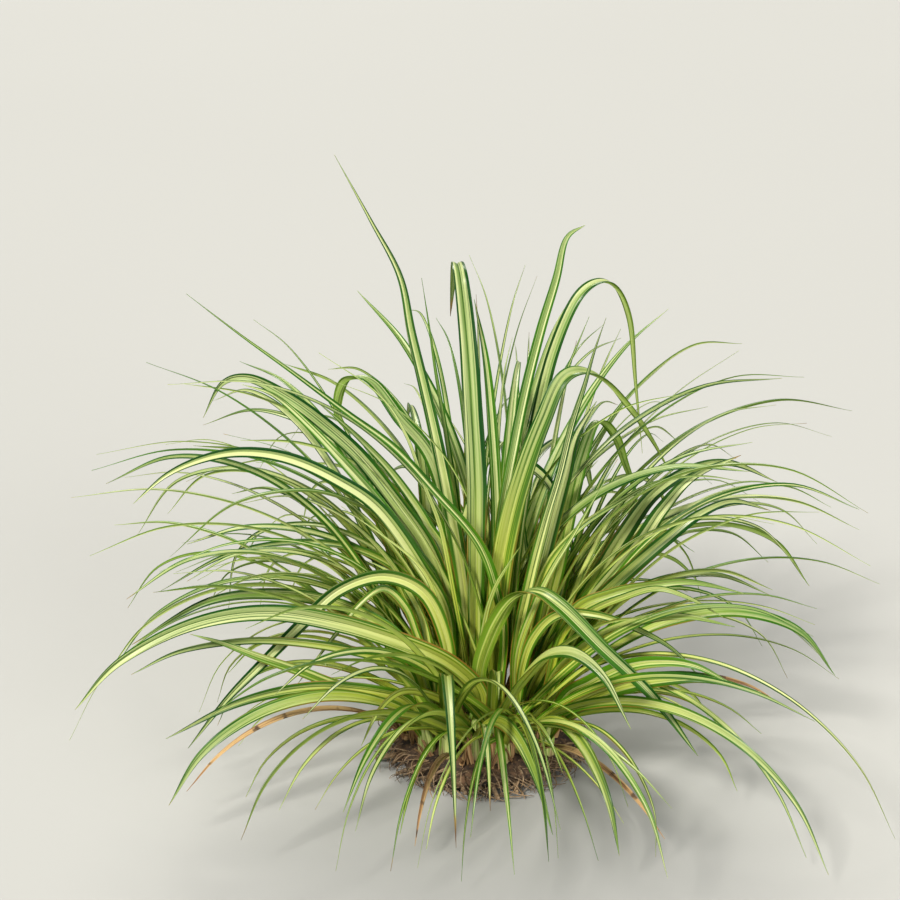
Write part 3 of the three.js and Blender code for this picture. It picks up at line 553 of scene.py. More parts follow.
def blade_skin(root, points, width, taper, turn, striping, draw, across_leaf=ACROSS, spacing=SECTION_SPACING):
    """A thin keeled blade, slightly waved, with its striping noted on it."""
    length = np.sum(np.linalg.norm(np.diff(np.vstack([root, points]), axis=0), axis=1))
    count = max(LEAST_SECTIONS, round(length / spacing))
    shares = np.linspace(0, 0.997, count)
    places, ahead = smooth_line(np.vstack([root, points]), shares)
    arc = np.concatenate([[0], np.cumsum(np.linalg.norm(np.diff(places, axis=0), axis=1))])
    heading = math.atan2(points[-1][1] - root[1], points[-1][0] - root[0])
    sideways = np.array([-math.sin(heading), math.cos(heading), 0])
    across = unit(sideways - ahead * (ahead @ sideways)[:, None])
    toward_front = -1 if math.cos(heading) < 0 else 1
    waver = WAVER["degrees"] * np.sin(arc / spread(draw, *WAVER["length"]) + 6 * next(draw))
    twist = toward_front * np.interp(shares, np.linspace(0, 1, len(turn)), turn) + waver
    across = turned(across, ahead, twist)
    upper = np.cross(ahead, across)

    neck = mix(NECK, 1, smooth(0, 0.25, shares))
    half = width * neck * (1 - shares ** taper) ** 0.9 / 2
    half = np.maximum(half, 0.12)[:, None]
    fold = np.radians(np.interp(shares, *zip(*FOLD)))[:, None]
    off = np.abs(across_leaf)[None]
    lifted = (np.sqrt(off ** 2 + KEEL_ROUNDING ** 2) - KEEL_ROUNDING) / (
        math.sqrt(1 + KEEL_ROUNDING ** 2) - KEEL_ROUNDING)
    out = half * np.cos(fold) * across_leaf
    rise = half * np.sin(fold) * lifted + BOW["bulge"] * half * np.sin(math.pi * off)
    rise = rise - BOW["edge_drop"] * half * smooth(0.75, 1, off)
    for side in (-1, 1):
        ripple = np.sin(arc / spread(draw, *RIPPLE["length"]) + 6 * next(draw))
        ripple = ripple * (0.5 + 0.5 * np.sin(arc / RIPPLE["patches"] + 5 * next(draw)))
        rise = rise + BOW["ripple"] * half * ripple[:, None] * np.clip(side * across_leaf, 0, 1) ** 2
    thin = np.minimum(1, half / BLADE["thins_under"])
    skin_half = thin * (BLADE["edge"] + BLADE["middle"] * (1 - off ** 2))
    keel = thin * BLADE["keel"] * np.exp(-((across_leaf / BLADE["keel_width"]) ** 2))
    groove = thin * BLADE["groove"] * np.exp(-((across_leaf / BLADE["groove_width"]) ** 2))
    top, under = rise + skin_half - groove, rise - skin_half - keel
    out = np.hstack([out, out[:, ::-1]])
    rise = np.hstack([top, under[:, ::-1]])
    rings = places[:, None] + out[..., None] * across[:, None] + rise[..., None] * upper[:, None]

    around = np.concatenate([across_leaf, across_leaf[::-1]])
    sides = len(around)
    tip = places[-1] + ahead[-1] * 0.4
    left, right, yellow, depth, fresh, lean = STRIPINGS[striping]
    seed = 40 * next(draw)
    shift = spread(draw, 0, STRAYS["middle"])
    browned = (1 - next(draw)) ** 8 * BROWNED
    return skin(
        rings, [places[0], tip],
        across=np.broadcast_to(around, (count, sides)),
        along=np.broadcast_to((arc / arc[-1])[:, None], (count, sides)),
        leaf_mm=np.stack([around * half, arc[:, None] + 0 * around * half, 0 * around * half], axis=-1),
        underside=np.broadcast_to(np.arange(sides) >= len(across_leaf), (count, sides)),
        middle=(left + shift, right + shift, seed),
        tint=(yellow + spread(draw, 0, STRAYS["yellow"]), depth + spread(draw, 0, STRAYS["depth"]),
              fresh + spread(draw, 0, STRAYS["fresh"])),
        lean=lean, browned=browned)


def parts_of(tree, vector):
    """The X, Y and Z of a vector."""
    return put(tree, "SeparateXYZ", {"Vector": vector}).outputs


def drawn_out(tree, place, seed, across_scale, along_scale, detail):
    """Noise that is stretched along a leaf into lines."""
    at = put(tree, "CombineXYZ", {
        "X": times(tree, place["X"], across_scale), "Y": times(tree, place["Y"], along_scale), "Z": seed})
    return noise_of(tree, at.outputs["Vector"], 1.0, detail)


leaf_veins, given, result = node_group(
    "leaf_veins", [("Leaf mm", "Vector"), ("Seed", "Float")], [(label, "Float") for label in VEINS])
place = parts_of(leaf_veins, given.outputs["Leaf mm"])
for label, scales in VEINS.items():
    leaf_veins.links.new(drawn_out(leaf_veins, place, given.outputs["Seed"], *scales), result.inputs[label])


def mark_of(tree, name, output="Fac"):
    return put(tree, "Attribute", attribute_name=name).outputs[output]


def veined(tree):
    """A leaf's place in millimetres, the mark of its middle, and its veins, lines and streaks."""
    leaf_mm = mark_of(tree, "leaf_mm", "Vector")
    middle = parts_of(tree, mark_of(tree, "middle", "Vector"))
    veins = put(tree, "Group", {"Leaf mm": leaf_mm, "Seed": middle["Z"]}, node_tree=leaf_veins).outputs
    return leaf_mm, middle, veins


striped, tree, output = new_material("striped_leaf")
across = mark_of(tree, "across")
along = mark_of(tree, "along")
leaf_mm, middle, veins = veined(tree)
tint = parts_of(tree, mark_of(tree, "tint", "Vector"))
place = parts_of(tree, leaf_mm)
reach = place["Y"]
edge_off = reckon(tree, "ABSOLUTE", across)

# the cream middle, with green lines in it and pale lines in the margins
wander = drawn_out(tree, place, middle["Z"], 0.25, 0.02, 1.0)
at = times_plus(tree, less(tree, wander, 0.5), 0.22, across)
from_left = less(tree, at, middle["X"])
from_right = less(tree, middle["Y"], at)
inside = times(tree, step_of(tree, from_left, -0.035, 0.035), step_of(tree, from_right, -0.035, 0.035))
green_lines = step_of(tree, veins["Lines"], 0.575, 0.625)
pale_lines = step_of(tree, veins["Lines"], 0.42, 0.34)
paleness = times(tree, inside, times_plus(tree, green_lines, -0.80, 1.0))
strays = times(tree, less(tree, 1.0, inside), times(tree, pale_lines, 0.45))
paleness = reckon(tree, "ADD", paleness, strays)

# the colours of the middle and the margins, less yellow and less fresh in the leaf's upper half
shade = less(tree, veins["Streaks"], 0.5)
bands = less(tree, drawn_out(tree, place, reckon(tree, "ADD", middle["Z"], 9.0), 0.50, 0.004, 1.0), 0.5)
depth = times_plus(tree, bands, 2.3, times_plus(tree, shade, 0.6, tint["Y"]))
# one half of the blade deeper than the other: partly the leaf's own tone, partly painted shade on the less
# lit half of the fold
depth = times_plus(tree, across, mark_of(tree, "lean"), depth)
upper = step_of(tree, along, 0.30, 0.62)
yellow = times(tree, tint["X"], times_plus(tree, upper, -0.80, 1.0))
bright = blend_of(tree, yellow, (0.70, 0.73, 0.37), (0.80, 0.76, 0.22))
olive = blend_of(tree, yellow, (0.17, 0.30, 0.062), (0.24, 0.32, 0.020))
pale = blend_of(tree, depth, bright, olive)
freshness = times_plus(tree, shade, 1.2, tint["Z"])
freshness = times_plus(tree, times(tree, upper, tint["X"]), -0.45, freshness)
green = blend_of(tree, freshness, (0.007, 0.066, 0.007), (0.085, 0.280, 0.006))

# yellower and lighter at the foot: partly the leaf bases' own colour, partly painted light that lifts the
# shaded foot of the tuft
foot = step_of(tree, reach, 135.0, 10.0)
pale = blend_of(tree, times(tree, foot, 0.80), pale, (0.60, 0.64, 0.05))
green = blend_of(tree, times(tree, foot, 0.55), green, (0.16, 0.37, 0.010))
colour = blend_of(tree, paleness, green, pale)

# bright lines in the middle and where it meets a margin, partly the leaf's own pale stripes and partly a
# painted highlight along them, and rusty streaks along the margins
rim = reckon(tree, "MAXIMUM", step_of(tree, from_left, 0.15, 0.05), step_of(tree, from_right, 0.15, 0.05))
rim = times(tree, times(tree, inside, rim), 0.50)
bright_lines = times(tree, times(tree, inside, pale_lines), 0.65)
stripe_and_painted_highlight = times(tree, reckon(tree, "MAXIMUM", rim, bright_lines), times_plus(tree, tint["Y"], -0.75, 1.0))
colour = blend_of(tree, stripe_and_painted_highlight, colour, bright)
rust = times(tree, step_of(tree, edge_off, 0.80, 0.95), step_of(tree, reach, 140.0, 50.0))
rust = times(tree, rust, step_of(tree, veins["Streaks"], 0.47, 0.57))
colour = blend_of(tree, times(tree, rust, 0.8), colour, (0.40, 0.15, 0.030))

# an underside duller in its stripes and lighter green: partly its own colour, partly painted light shining
# through the blade; small dark specks and a withered tip
colour = blend_of(tree, times(tree, mark_of(tree, "underside"), 0.38), colour, (0.36, 0.49, 0.05))
spot_at = put(tree, "VectorMath", {0: leaf_mm, 1: (1.1, 0.42, 1.0)}, operation="MULTIPLY").outputs["Vector"]
spots = put(tree, "TexVoronoi", {"Vector": spot_at, "Scale": 0.55}, feature="F1")
rare = noise_of(tree, leaf_mm, 0.09)
speck = times(tree, step_of(tree, spots.outputs["Distance"], 0.17, 0.08), step_of(tree, rare, 0.60, 0.70))
colour = blend_of(tree, times(tree, speck, 0.75), colour, (0.06, 0.035, 0.012))
ragged = times_plus(tree, shade, 0.10, along)
to_tip = less(tree, ragged, less(tree, 1.0, mark_of(tree, "browned")))
withered = step_of(tree, to_tip, 0.0, 0.022)
straw = blend_of(tree, step_of(tree, to_tip, 0.01, 0.06), (0.36, 0.25, 0.07), (0.17, 0.085, 0.035))
colour = blend_of(tree, withered, colour, straw)

roughness = times_plus(tree, withered, 0.35, step_of(tree, veins["Streaks"], -0.75, 2.6))
body = put(tree, "MixShader", {"Fac": 0.42})
surface, bump = rough_surface(tree, body.inputs[1], colour, roughness, veins["Height"], 0.55, 0.00022)
surface.inputs["Specular IOR Level"].default_value = 0.27
glow = put(tree, "BsdfTranslucent", {
    "Color": blend_of(tree, 0.5, colour, (0.55, 0.88, 0.05), "MULTIPLY"), "Normal": bump.outputs["Normal"]})
tree.links.new(glow.outputs["BSDF"], body.inputs[2])
tree.links.new(body.outputs["Shader"], output)

# ---------------------------------------------------------------- sheaths
# At its foot a shoot is a firm stem of leaf bases wrapped round each other, pale and ribbed, with
# brown papery edges where the oldest ones have dried.

SHEATH = {"radius": 3.9, "floor": 4.35, "collar": 14, "top": 30, "top_radius": 1.5, "lean": 4}


def sheath_skin(place, draw):
    """The wrapped leaf bases: a ribbed stem that narrows and leans outwards."""
    angles = np.linspace(0, -2 * math.pi, 36, endpoint=False)
    heights = np.array([SHEATH["floor"], 7, 10, 12.5, SHEATH["collar"], 17, 20, 23, 26, 28.5, SHEATH["top"]])
    radii = np.interp(heights, [SHEATH["floor"], SHEATH["collar"], SHEATH["top"]],
                      [SHEATH["radius"], SHEATH["radius"], SHEATH["top_radius"]])
    lean = np.interp(heights, [SHEATH["collar"], SHEATH["top"]], [0, SHEATH["lean"]])
    phase = 6 * next(draw)
    wraps = (1 - np.abs(np.sin(2.5 * angles + phase + 0.05 * heights[:, None]))) ** 2
    round_radii = radii[:, None] * (1 - 0.10 * wraps) * (1 + 0.02 * np.sin(9 * angles + 3 * phase))
    x = place[0] * (1 + lean / ROOTSTOCK["belly"])
    y = place[1] * (1 + lean / ROOTSTOCK["belly"])
    rings = np.stack([x[:, None] + round_radii * np.cos(angles), y[:, None] + round_radii * np.sin(angles),
                      heights[:, None] + 0 * angles], axis=-1)
    ends = [[x[0], y[0], heights[0]], [x[-1], y[-1], heights[-1] + 0.6]]
    reach = (heights - SHEATH["floor"]) / (SHEATH["top"] - SHEATH["floor"])
    leaf_mm = np.stack([0 * heights[:, None] + 4 * angles, heights[:, None] + 0 * angles, 0 * wraps], axis=-1)
    part = skin(
        rings, ends, across=wraps, along=np.broadcast_to(reach[:, None], wraps.shape), leaf_mm=leaf_mm,
        underside=0.0, middle=(0.0, 0.0, 40 * next(draw)), tint=(next(draw), 0.0, 0.0), lean=0.0, browned=0.0)
    part["wears"] = 1
    return part


wrapped, tree, output = new_material("wrapped_sheath")
_, _, veins = veined(tree)
ragged = times_plus(tree, less(tree, veins["Streaks"], 0.5), 0.7, mark_of(tree, "along"))
colour = blend_of(tree, step_of(tree, veins["Lines"], 0.42, 0.60), (0.50, 0.56, 0.18), (0.20, 0.34, 0.035))
colour = blend_of(tree, step_of(tree, ragged, 0.45, 0.20), colour, (0.40, 0.34, 0.14))
colour = blend_of(tree, step_of(tree, ragged, 0.26, 0.06), colour, (0.14, 0.072, 0.028))
colour = blend_of(tree, step_of(tree, mark_of(tree, "across"), 0.55, 0.9), colour, (0.16, 0.085, 0.03))
rough_surface(tree, output, colour, step_of(tree, veins["Streaks"], -1.0, 1.3), veins["Height"], 0.8, 0.0004)

# ---------------------------------------------------------------- leafy shoots, front and middle
# The eleven shoots that carry the tuft's tallest and broadest leaves. Each leaf is given by its
# width, its taper, the turn of its upper face at even steps from root to tip, its striping and the
# points that it passes through.

SET_SEED = 100
SET_SHOOTS = (
    ((-3, 3), (
        (9, 1, (69, 63), "cream", ((-8, 3, 76), (-15, 5, 119), (-22, 8, 154), (-30, 12, 189), (-35, 16, 214),
            (-47, 20, 237), (-62, 25, 264))),
        (4.1, 1, (52, 50), "green", ((-8, 6, 84), (-12, 9, 120), (-16, 12, 147), (-20, 15, 171),
            (-23, 18, 192), (-26, 20, 212))),
        (9.3, 3.2, (8, -8), "broad", ((-3, 0, 92), (-3, 2, 128), (-5, 6, 163), (-7, 11, 190), (-10, 20, 214),
            (-12, 47, 207), (-14, 76, 175))),
        (6, 3, (6, 3), "bright", ((5, 2, 72), (6, 4, 113), (4, 8, 148), (1, 13, 178), (-4, 19, 203))),
        (2.4, 2, (78, 66), "golden", ((-12, -7, 76), (-18, -9, 110), (-25, -8, 130), (-33, -7, 153),
            (-45, -4, 170), (-69, 3, 185))),
    )),
    ((6, -5), (
        (4.8, 5, (58, 50), "silver", ((6, -5, 66), (7, -3, 107), (13, 0, 145), (18, 4, 170), (24, 8, 194),
            (30, 12, 214), (34, 16, 230), (42, 20, 235))),
        (7, 1.8, (58, 58, 60, 58, -2, -58, -60), "half", ((10, -1, 64), (14, 2, 105), (21, 6, 146),
            (29, 11, 182), (40, 18, 205), (53, 25, 208), (62, 31, 190), (66, 36, 158), (70, 40, 124))),
        (11.5, 1.5, (60, 60, 58, 50, -45, -60), "lined", ((6, -6, 57), (7, -6, 85), (11, -5, 111),
            (17, -3, 134), (25, 0, 156), (34, 6, 173), (48, 12, 171), (62, 19, 154), (73, 26, 136),
            (83, 33, 116))),
        (7.8, 6, (-80, -75, 5, 65, 60), "keeled", ((-2, -12, 40), (2, -17, 62), (11, -22, 82), (21, -27, 89),
            (32, -33, 85), (49, -42, 71), (71, -54, 53), (89, -64, 31))),
        (5.2, 1.5, (95, 72), "thread", ((9, -10, 58), (6, -12, 82), (-2, -14, 106), (-20, -16, 130),
            (-37, -16, 150), (-57, -14, 165), (-79, -10, 181), (-101, -5, 196), (-123, 0, 212))),
        (3.5, 1.6, (124, 97), "silver", ((0, -12, 52), (1, -14, 70), (5, -16, 86), (11, -17, 98),
            (16, -18, 107))),
    )),
    ((15, -10), (
        (6.5, 1.2, (67, 58), "dark", ((14, -11, 52), (20, -10, 87), (26, -7, 112), (32, -4, 133),
            (37, 0, 154), (42, 3, 170), (46, 6, 184), (51, 10, 198))),
        (2.2, 3.2, (53, 45), "green", ((13, -6, 57), (16, -2, 97), (21, 2, 132), (26, 5, 156), (33, 8, 169),
            (39, 10, 183), (45, 13, 197))),
        (6.8, 4, (55, 62), "white", ((18, -7, 52), (24, -5, 84), (30, -2, 111), (35, 1, 131), (39, 5, 147),
            (48, 12, 160))),
        (5, 1.2, (74, 82), "golden", ((17, -9, 46), (21, -8, 72), (28, -6, 93), (41, -3, 108), (57, 1, 118),
            (73, 6, 125), (93, 11, 126), (113, 16, 121))),
        (4.5, 1.1, (80, 74), "silver", ((15, -14, 53), (22, -14, 77), (29, -13, 93), (38, -12, 109),
            (46, -11, 124), (56, -9, 142))),
        (5, 2.5, (108, 60), "dark", ((17, -16, 48), (22, -19, 65), (32, -23, 77), (48, -28, 79),
            (64, -33, 75), (79, -38, 68), (92, -45, 56))),
    )),
    ((19, 2), (
        (10, 2.4, (66, 88), "dark", ((20, 1, 36), (33, 3, 56), (46, 7, 74), (60, 13, 97), (73, 19, 114),
            (90, 26, 123), (108, 33, 123), (130, 42, 110))),
        (7.5, 3.2, (80, 84), "dark", ((22, -3, 32), (33, -6, 54), (49, -8, 76), (63, -8, 91), (77, -7, 104),
            (91, -5, 115), (106, 0, 119), (123, 6, 112))),
        (9.5, 3, (72, 68), "streaked", ((25, 0, 44), (39, 1, 63), (53, 3, 80), (67, 6, 97), (77, 9, 112),
            (90, 13, 125), (111, 20, 132))),
        (6.3, 3.2, (40, 130), "white", ((19, 8, 50), (18, 12, 81), (15, 15, 108), (16, 19, 127),
            (25, 23, 122), (33, 26, 108), (38, 28, 93), (41, 30, 68))),
        (8, 2, (60, 60, 60, -25, -60, -60), "fresh", ((25, 4, 52), (32, 9, 84), (37, 13, 109), (42, 18, 130),
            (49, 24, 145), (57, 29, 137), (62, 33, 123), (67, 37, 107), (69, 41, 88))),
    )),
    ((26, -8), (
        (6.3, 3.2, (92, 70), "olive", ((32, -12, 55), (40, -16, 76), (54, -18, 84), (68, -19, 88),
            (87, -21, 91), (110, -24, 87))),
        (3.8, 3.2, (105, 62), "golden", ((33, -15, 61), (45, -21, 77), (58, -28, 87), (72, -34, 94),
            (85, -39, 92), (99, -43, 85))),
        (6, 3.2, (98, 61), "olive", ((30, -13, 40), (39, -22, 57), (51, -30, 71), (65, -36, 80),
            (83, -40, 84), (104, -46, 82))),
    )),
    ((27, -19), (
        (8, 2.4, (98, 60), "bright", ((35, -28, 40), (45, -34, 50), (57, -42, 61), (71, -50, 68),
            (87, -58, 70), (105, -66, 63))),
        (9.5, 3.2, (86, 62), "dark", ((35, -25, 32), (45, -31, 42), (58, -38, 51), (73, -46, 58),
            (91, -53, 62), (114, -60, 59))),
    )),
    ((-14, 1), (
        (6.5, 3.2, (95, 72), "half", ((-15, -3, 65), (-27, -6, 92), (-44, -8, 119), (-62, -11, 134),
            (-81, -13, 144), (-99, -16, 148), (-115, -20, 147), (-131, -24, 141), (-145, -29, 130))),
        (9, 2.2, (72, 88), "sage", ((-14, 1, 63), (-22, 3, 93), (-35, 7, 113), (-52, 13, 134),
            (-70, 19, 149), (-85, 25, 158), (-100, 29, 164), (-112, 32, 160), (-121, 35, 143))),
        (6.3, 2.2, (79, 66), "silver", ((-18, 0, 73), (-29, 1, 95), (-44, 2, 117), (-59, 4, 135),
            (-73, 7, 150), (-88, 10, 163), (-102, 13, 167))),
        (5.4, 2.2, (65, 57), "cream", ((-15, 6, 84), (-24, 10, 104), (-33, 13, 118), (-43, 17, 130),
            (-57, 22, 143), (-71, 26, 154))),
    )),
    ((-7, 14), (
        (6.5, 6, (60, 60, 60, 50, 0, -65, -65), "silver", ((-12, 16, 75), (-16, 18, 109), (-23, 21, 132),
            (-36, 26, 147), (-48, 31, 161), (-59, 35, 160), (-63, 37, 145), (-57, 38, 134))),
        (4, 3.2, (72, 76), "green", ((-23, 12, 62), (-36, 12, 81), (-57, 15, 91), (-84, 20, 91),
            (-113, 28, 81), (-143, 36, 60))),
        (2.8, 3.2, (66, 105), "cream", ((-20, 17, 61), (-40, 21, 83), (-67, 28, 95), (-93, 36, 91),
            (-109, 42, 75), (-114, 48, 45))),
    )),
    ((-3, -13), (
        (9.5, 3.2, (102, 67), "banked", ((-1, -16, 34), (-9, -20, 48), (-26, -26, 62), (-59, -32, 77),
            (-91, -38, 85), (-122, -44, 82), (-151, -50, 68), (-170, -55, 48))),
        (4, 3.2, (111, 40), "golden", ((-13, -23, 33), (-24, -32, 44), (-35, -42, 50), (-44, -52, 46),
            (-51, -60, 34))),
    )),
    ((-20, -9), (
        (7, 4.5, (102, 66), "dark", ((-15, -10, 39), (-16, -12, 60), (-25, -13, 82), (-42, -15, 91),
            (-61, -18, 86), (-77, -22, 72), (-94, -26, 55), (-109, -30, 40), (-126, -35, 19))),
        (7, 3.2, (85, 69), "dark", ((-32, -11, 54), (-53, -11, 72), (-82, -10, 80), (-116, -12, 78),
            (-150, -18, 60))),
        (4, 2.2, (102, 64), "bright", ((-22, -8, 43), (-28, -8, 59), (-33, -10, 74), (-42, -12, 84),
            (-52, -16, 79), (-62, -20, 67), (-70, -23, 57), (-81, -27, 43))),
        (4.5, 2.2, (48, 53), "silver", ((-23, -5, 52), (-27, 0, 68), (-36, 6, 81), (-48, 14, 86))),
        (3, 2.2, (94, 71), "golden", ((-17, -10, 57), (-19, -12, 75), (-29, -13, 97), (-60, -10, 121))),
    )),
    ((-24, -20), (
        (5.5, 3.2, (82, 65), "silver", ((-33, -24, 30), (-44, -27, 40), (-61, -29, 46), (-77, -31, 54),
            (-94, -32, 61), (-109, -33, 68), (-123, -34, 73))),
        (4.5, 3.2, (91, 65), "dark", ((-31, -21, 47), (-44, -22, 56), (-69, -26, 64), (-98, -30, 68),
            (-127, -34, 65), (-148, -38, 56))),
        (7, 3.2, (94, 60), "dark", ((-32, -29, 38), (-46, -36, 47), (-72, -42, 52), (-102, -48, 48),
            (-133, -54, 34))),
    )),
)


def grow_shoot(name, place, leaves, seed):
    """Builds one shoot in place of its node: its sheath, and the leaves that the node has."""
    draw = seeded_draws(seed)
    parts = [sheath_skin(place, draw)]
    for index, (width, taper, turn, striping, points) in enumerate(leaves):
        root = np.array([*place, LEAF_ROOT["height"] + LEAF_ROOT["step"] * index], float)
        grown = as_grown(root, np.array(points, float), frame["nodes"][name])
        if grown is not None:
            parts.append(blade_skin(root, grown, width, taper, turn, striping, draw))
    piece = skinned_object("leafy_" + name, parts, [striped, wrapped])
    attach(piece, "root")
    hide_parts(name)


for number, (place, leaves) in enumerate(SET_SHOOTS, start=1):
    grow_shoot(f"shoot_{number:02d}", place, leaves, SET_SEED + number)

# ---------------------------------------------------------------- leafy shoots all round
# The other shoots fill the tuft. Their leaves point outwards, and are shorter and droop more the
# further out the shoot stands. A row gives place and vigour, and for the low shoots at the front how
# many degrees lower their leaves set out, and their narrower fan.

LEAF_SEED = 4211
RULE_SEED = 200
RULE_SHOOTS = (
    ((6, 8), 0.8), ((17, 14), 0.8), ((29, 5), 0.85), ((5, 20), 0.9), ((-7, 25), 0.95), ((-18, 12), 0.9),
    ((-19, 24), 1), ((-28, 1), 0.9), ((-29, 14), 0.95), ((16, 27), 1), ((27, 18), 0.8), ((3, 33), 1),
    ((5, -17), 0.6, 22, 80), ((17, -22), 0.8, 24, 70), ((-15, -25), 0.8, 20, 70), ((-3, -27), 0.7, 22, 70),
    ((8, -29), 0.7, 24, 70),
)
RULE = {
    "leaves": 6, "outer": 38, "spread": (150, 92), "stray": 14, "length": (245, 172), "length_spread": 0.22,
    "rise": (86, 68), "rise_spread": 8, "droop": (80, 125), "droop_spread": 34,
    "late_bend": (1.1, 2.1), "width": (3.8, 8.8), "taper": (1.4, 3.4), "veer": 10, "turn": 55,
}
COMMON_STRIPINGS = ("cream", "silver", "dark", "olive", "half", "green", "white", "sage", "silver")


def stance(place):
    """How far out a shoot stands, from 0 to 1, and the way outwards in degrees."""
    return min(1, math.hypot(*place) / RULE["outer"]), math.degrees(math.atan2(place[1], place[0]))


def drawn_leaf(rule, draw, heading, outer, scale, lower):
    """How a leaf grows, drawn within a rule for a shoot that stands so far out."""
    return {
        "toward": heading + spread(draw, 0, rule["stray"]),
        "length": scale * mix(*rule["length"], outer) * spread(draw, 1, rule["length_spread"]),
        "rise": spread(draw, mix(*rule["rise"], outer), rule["rise_spread"]) - lower,
        "droop": spread(draw, mix(*rule["droop"], outer), rule["droop_spread"]),
        "late_bend": mix(*rule["late_bend"], next(draw)),
    }


def rule_leaves(number, place, vigour, lower=0, fan=None):
    """The leaves of a shoot that is set by rule, drawn from its own seed."""
    draw = seeded_draws(LEAF_SEED + number)
    looks = seeded_draws(7 * LEAF_SEED + number)
    outer, outwards = stance(place)
    fan = fan or mix(*RULE["spread"], outer)
    leaves = []
    for index in range(RULE["leaves"]):
        side = 2 * index / (RULE["leaves"] - 1) - 1
        leaf = drawn_leaf(RULE, draw, outwards + fan * side, outer, vigour, lower)
        leaf["droop"] -= lower
        width = mix(*RULE["width"], next(draw))
        taper = mix(*RULE["taper"], next(draw))
        leaf["veer"] = spread(draw, 0, RULE["veer"])
        turn = (spread(draw, 0, RULE["turn"]), spread(draw, 0, RULE["turn"]))
        root = (*place, LEAF_ROOT["height"] + LEAF_ROOT["step"] * index)
        striping = COMMON_STRIPINGS[int(next(looks) * len(COMMON_STRIPINGS))]
        leaves.append((width, taper, turn, striping, arching_points(root, leaf)))
    return leaves


for number, habit in enumerate(RULE_SHOOTS):
    name = f"shoot_{len(SET_SHOOTS) + number + 1:02d}"
    grow_shoot(name, habit[0], rule_leaves(number, *habit), RULE_SEED + number)

# ---------------------------------------------------------------- fine leaves
# Between its broad leaves each shoot has narrow young ones, soft and thin, that make the tuft dense.
# They rise out of the same sheath, pass clear of the broad leaves above it, and leave the front of
# the middle open.

FINE_SEED = 7300
FINE_ACROSS = np.array([-1, -0.8, -0.45, -0.12, 0, 0.12, 0.45, 0.8, 1])
FINE_SPACING = 4.2
FINE_ROOT = {"height": 20, "step": 0.7}
FINE_CLEAR = 0.4  # least gap between the edge of a blade and its neighbours
FINE_GROUND = 3  # least height of a leaf over the ground
FINE_LIFTS = (0, 6, -6, 12, -12)
FINE_FREE = 0.17  # share of a leaf's length, from its root, that may touch its neighbours
FINE_TESTS = 48  # places along the rest where its room is tested
FINE_NARROWS = 2.6  # how soon a blade counts as narrower toward its tip
TO_MM = 1000
FINE_REACH = np.array([list(corner) for corner in cad_box]) * TO_MM + np.array([[-8], [8]])
FINE_REACH[1][2] = 185  # no fine leaf rises among the tips of the tallest
OPEN_FRONT = {"before": -16, "half_width": 56, "above": 52}
FRONT_PLACE = -8  # shoots in front of this have few fine leaves, short and low
FINE = {
    "leaves": 14, "stray": 20, "length": (200, 150), "length_spread": 0.28,
    "rise": (86, 58), "rise_spread": 12, "droop": (60, 118), "droop_spread": 34,
    "late_bend": (1.1, 2.1), "width": (1.9, 4.4), "taper": (1.6, 3.2), "veer": 16, "turn": 70,
}
FRONT = {"leaves": 5, "fan": 60, "scale": 0.7, "lower": 26}  # what differs there
FINE_STRIPINGS = ("thread", "green", "cream", "sage", "bright", "dark", "olive", "silver")


def keeps_its_place(points):
    """Whether a leaf stays over the ground, within the tuft's reach and out of the open front."""
    across, depth, height = points.T
    in_view = ((depth < OPEN_FRONT["before"]) & (abs(across) < OPEN_FRONT["half_width"])
               & (height > OPEN_FRONT["above"]))
    inside = (points > FINE_REACH[0]).all() and (points < FINE_REACH[1]).all()
    return inside and height.min() > FINE_GROUND and not in_view.any()


corners, faces = [], []
for blades in (piece for piece in bpy.data.objects if piece.name.startswith("leafy_shoot")):
    first = len(corners)
    corners += [TO_MM * corner.co for corner in blades.data.vertices]
    faces += [[first + corner for corner in face.vertices] for face in blades.data.polygons]
broad_leaves = BVHTree.FromPolygons(corners, faces)
fine_lines = []  # the middle line and half the width of each fine leaf


def has_room(line, gaps):
    """Whether a line keeps its gaps to the broad leaves and to the fine ones that are grown."""
    if any(broad_leaves.find_nearest(point, gap)[0] is not None for point, gap in zip(line, gaps)):
        return False
    return all((np.linalg.norm(line[:, None] - other, axis=2).min(axis=1) > gaps + half).all()
               for other, half in fine_lines)


def clear_way(root, leaf, width):
    """The points of a fine leaf, lifted and swung to where its blade has room, or None."""
    shares = np.linspace(FINE_FREE, 1, FINE_TESTS)
    gaps = width / 2 * np.minimum(1, FINE_NARROWS * (1 - shares)) + FINE_CLEAR
    for lift in FINE_LIFTS:
        points = arching_points(root, {**leaf, "rise": leaf["rise"] + lift})
        for swing in SWINGS:
            moved = root + turned(points - root, np.array([0, 0, 1.0]), swing)
            if not keeps_its_place(moved):
                continue
            line = smooth_line(np.vstack([root, moved]), shares)[0]
            if has_room(line, gaps):
                fine_lines.append((line, width / 2))
                return moved
    return None


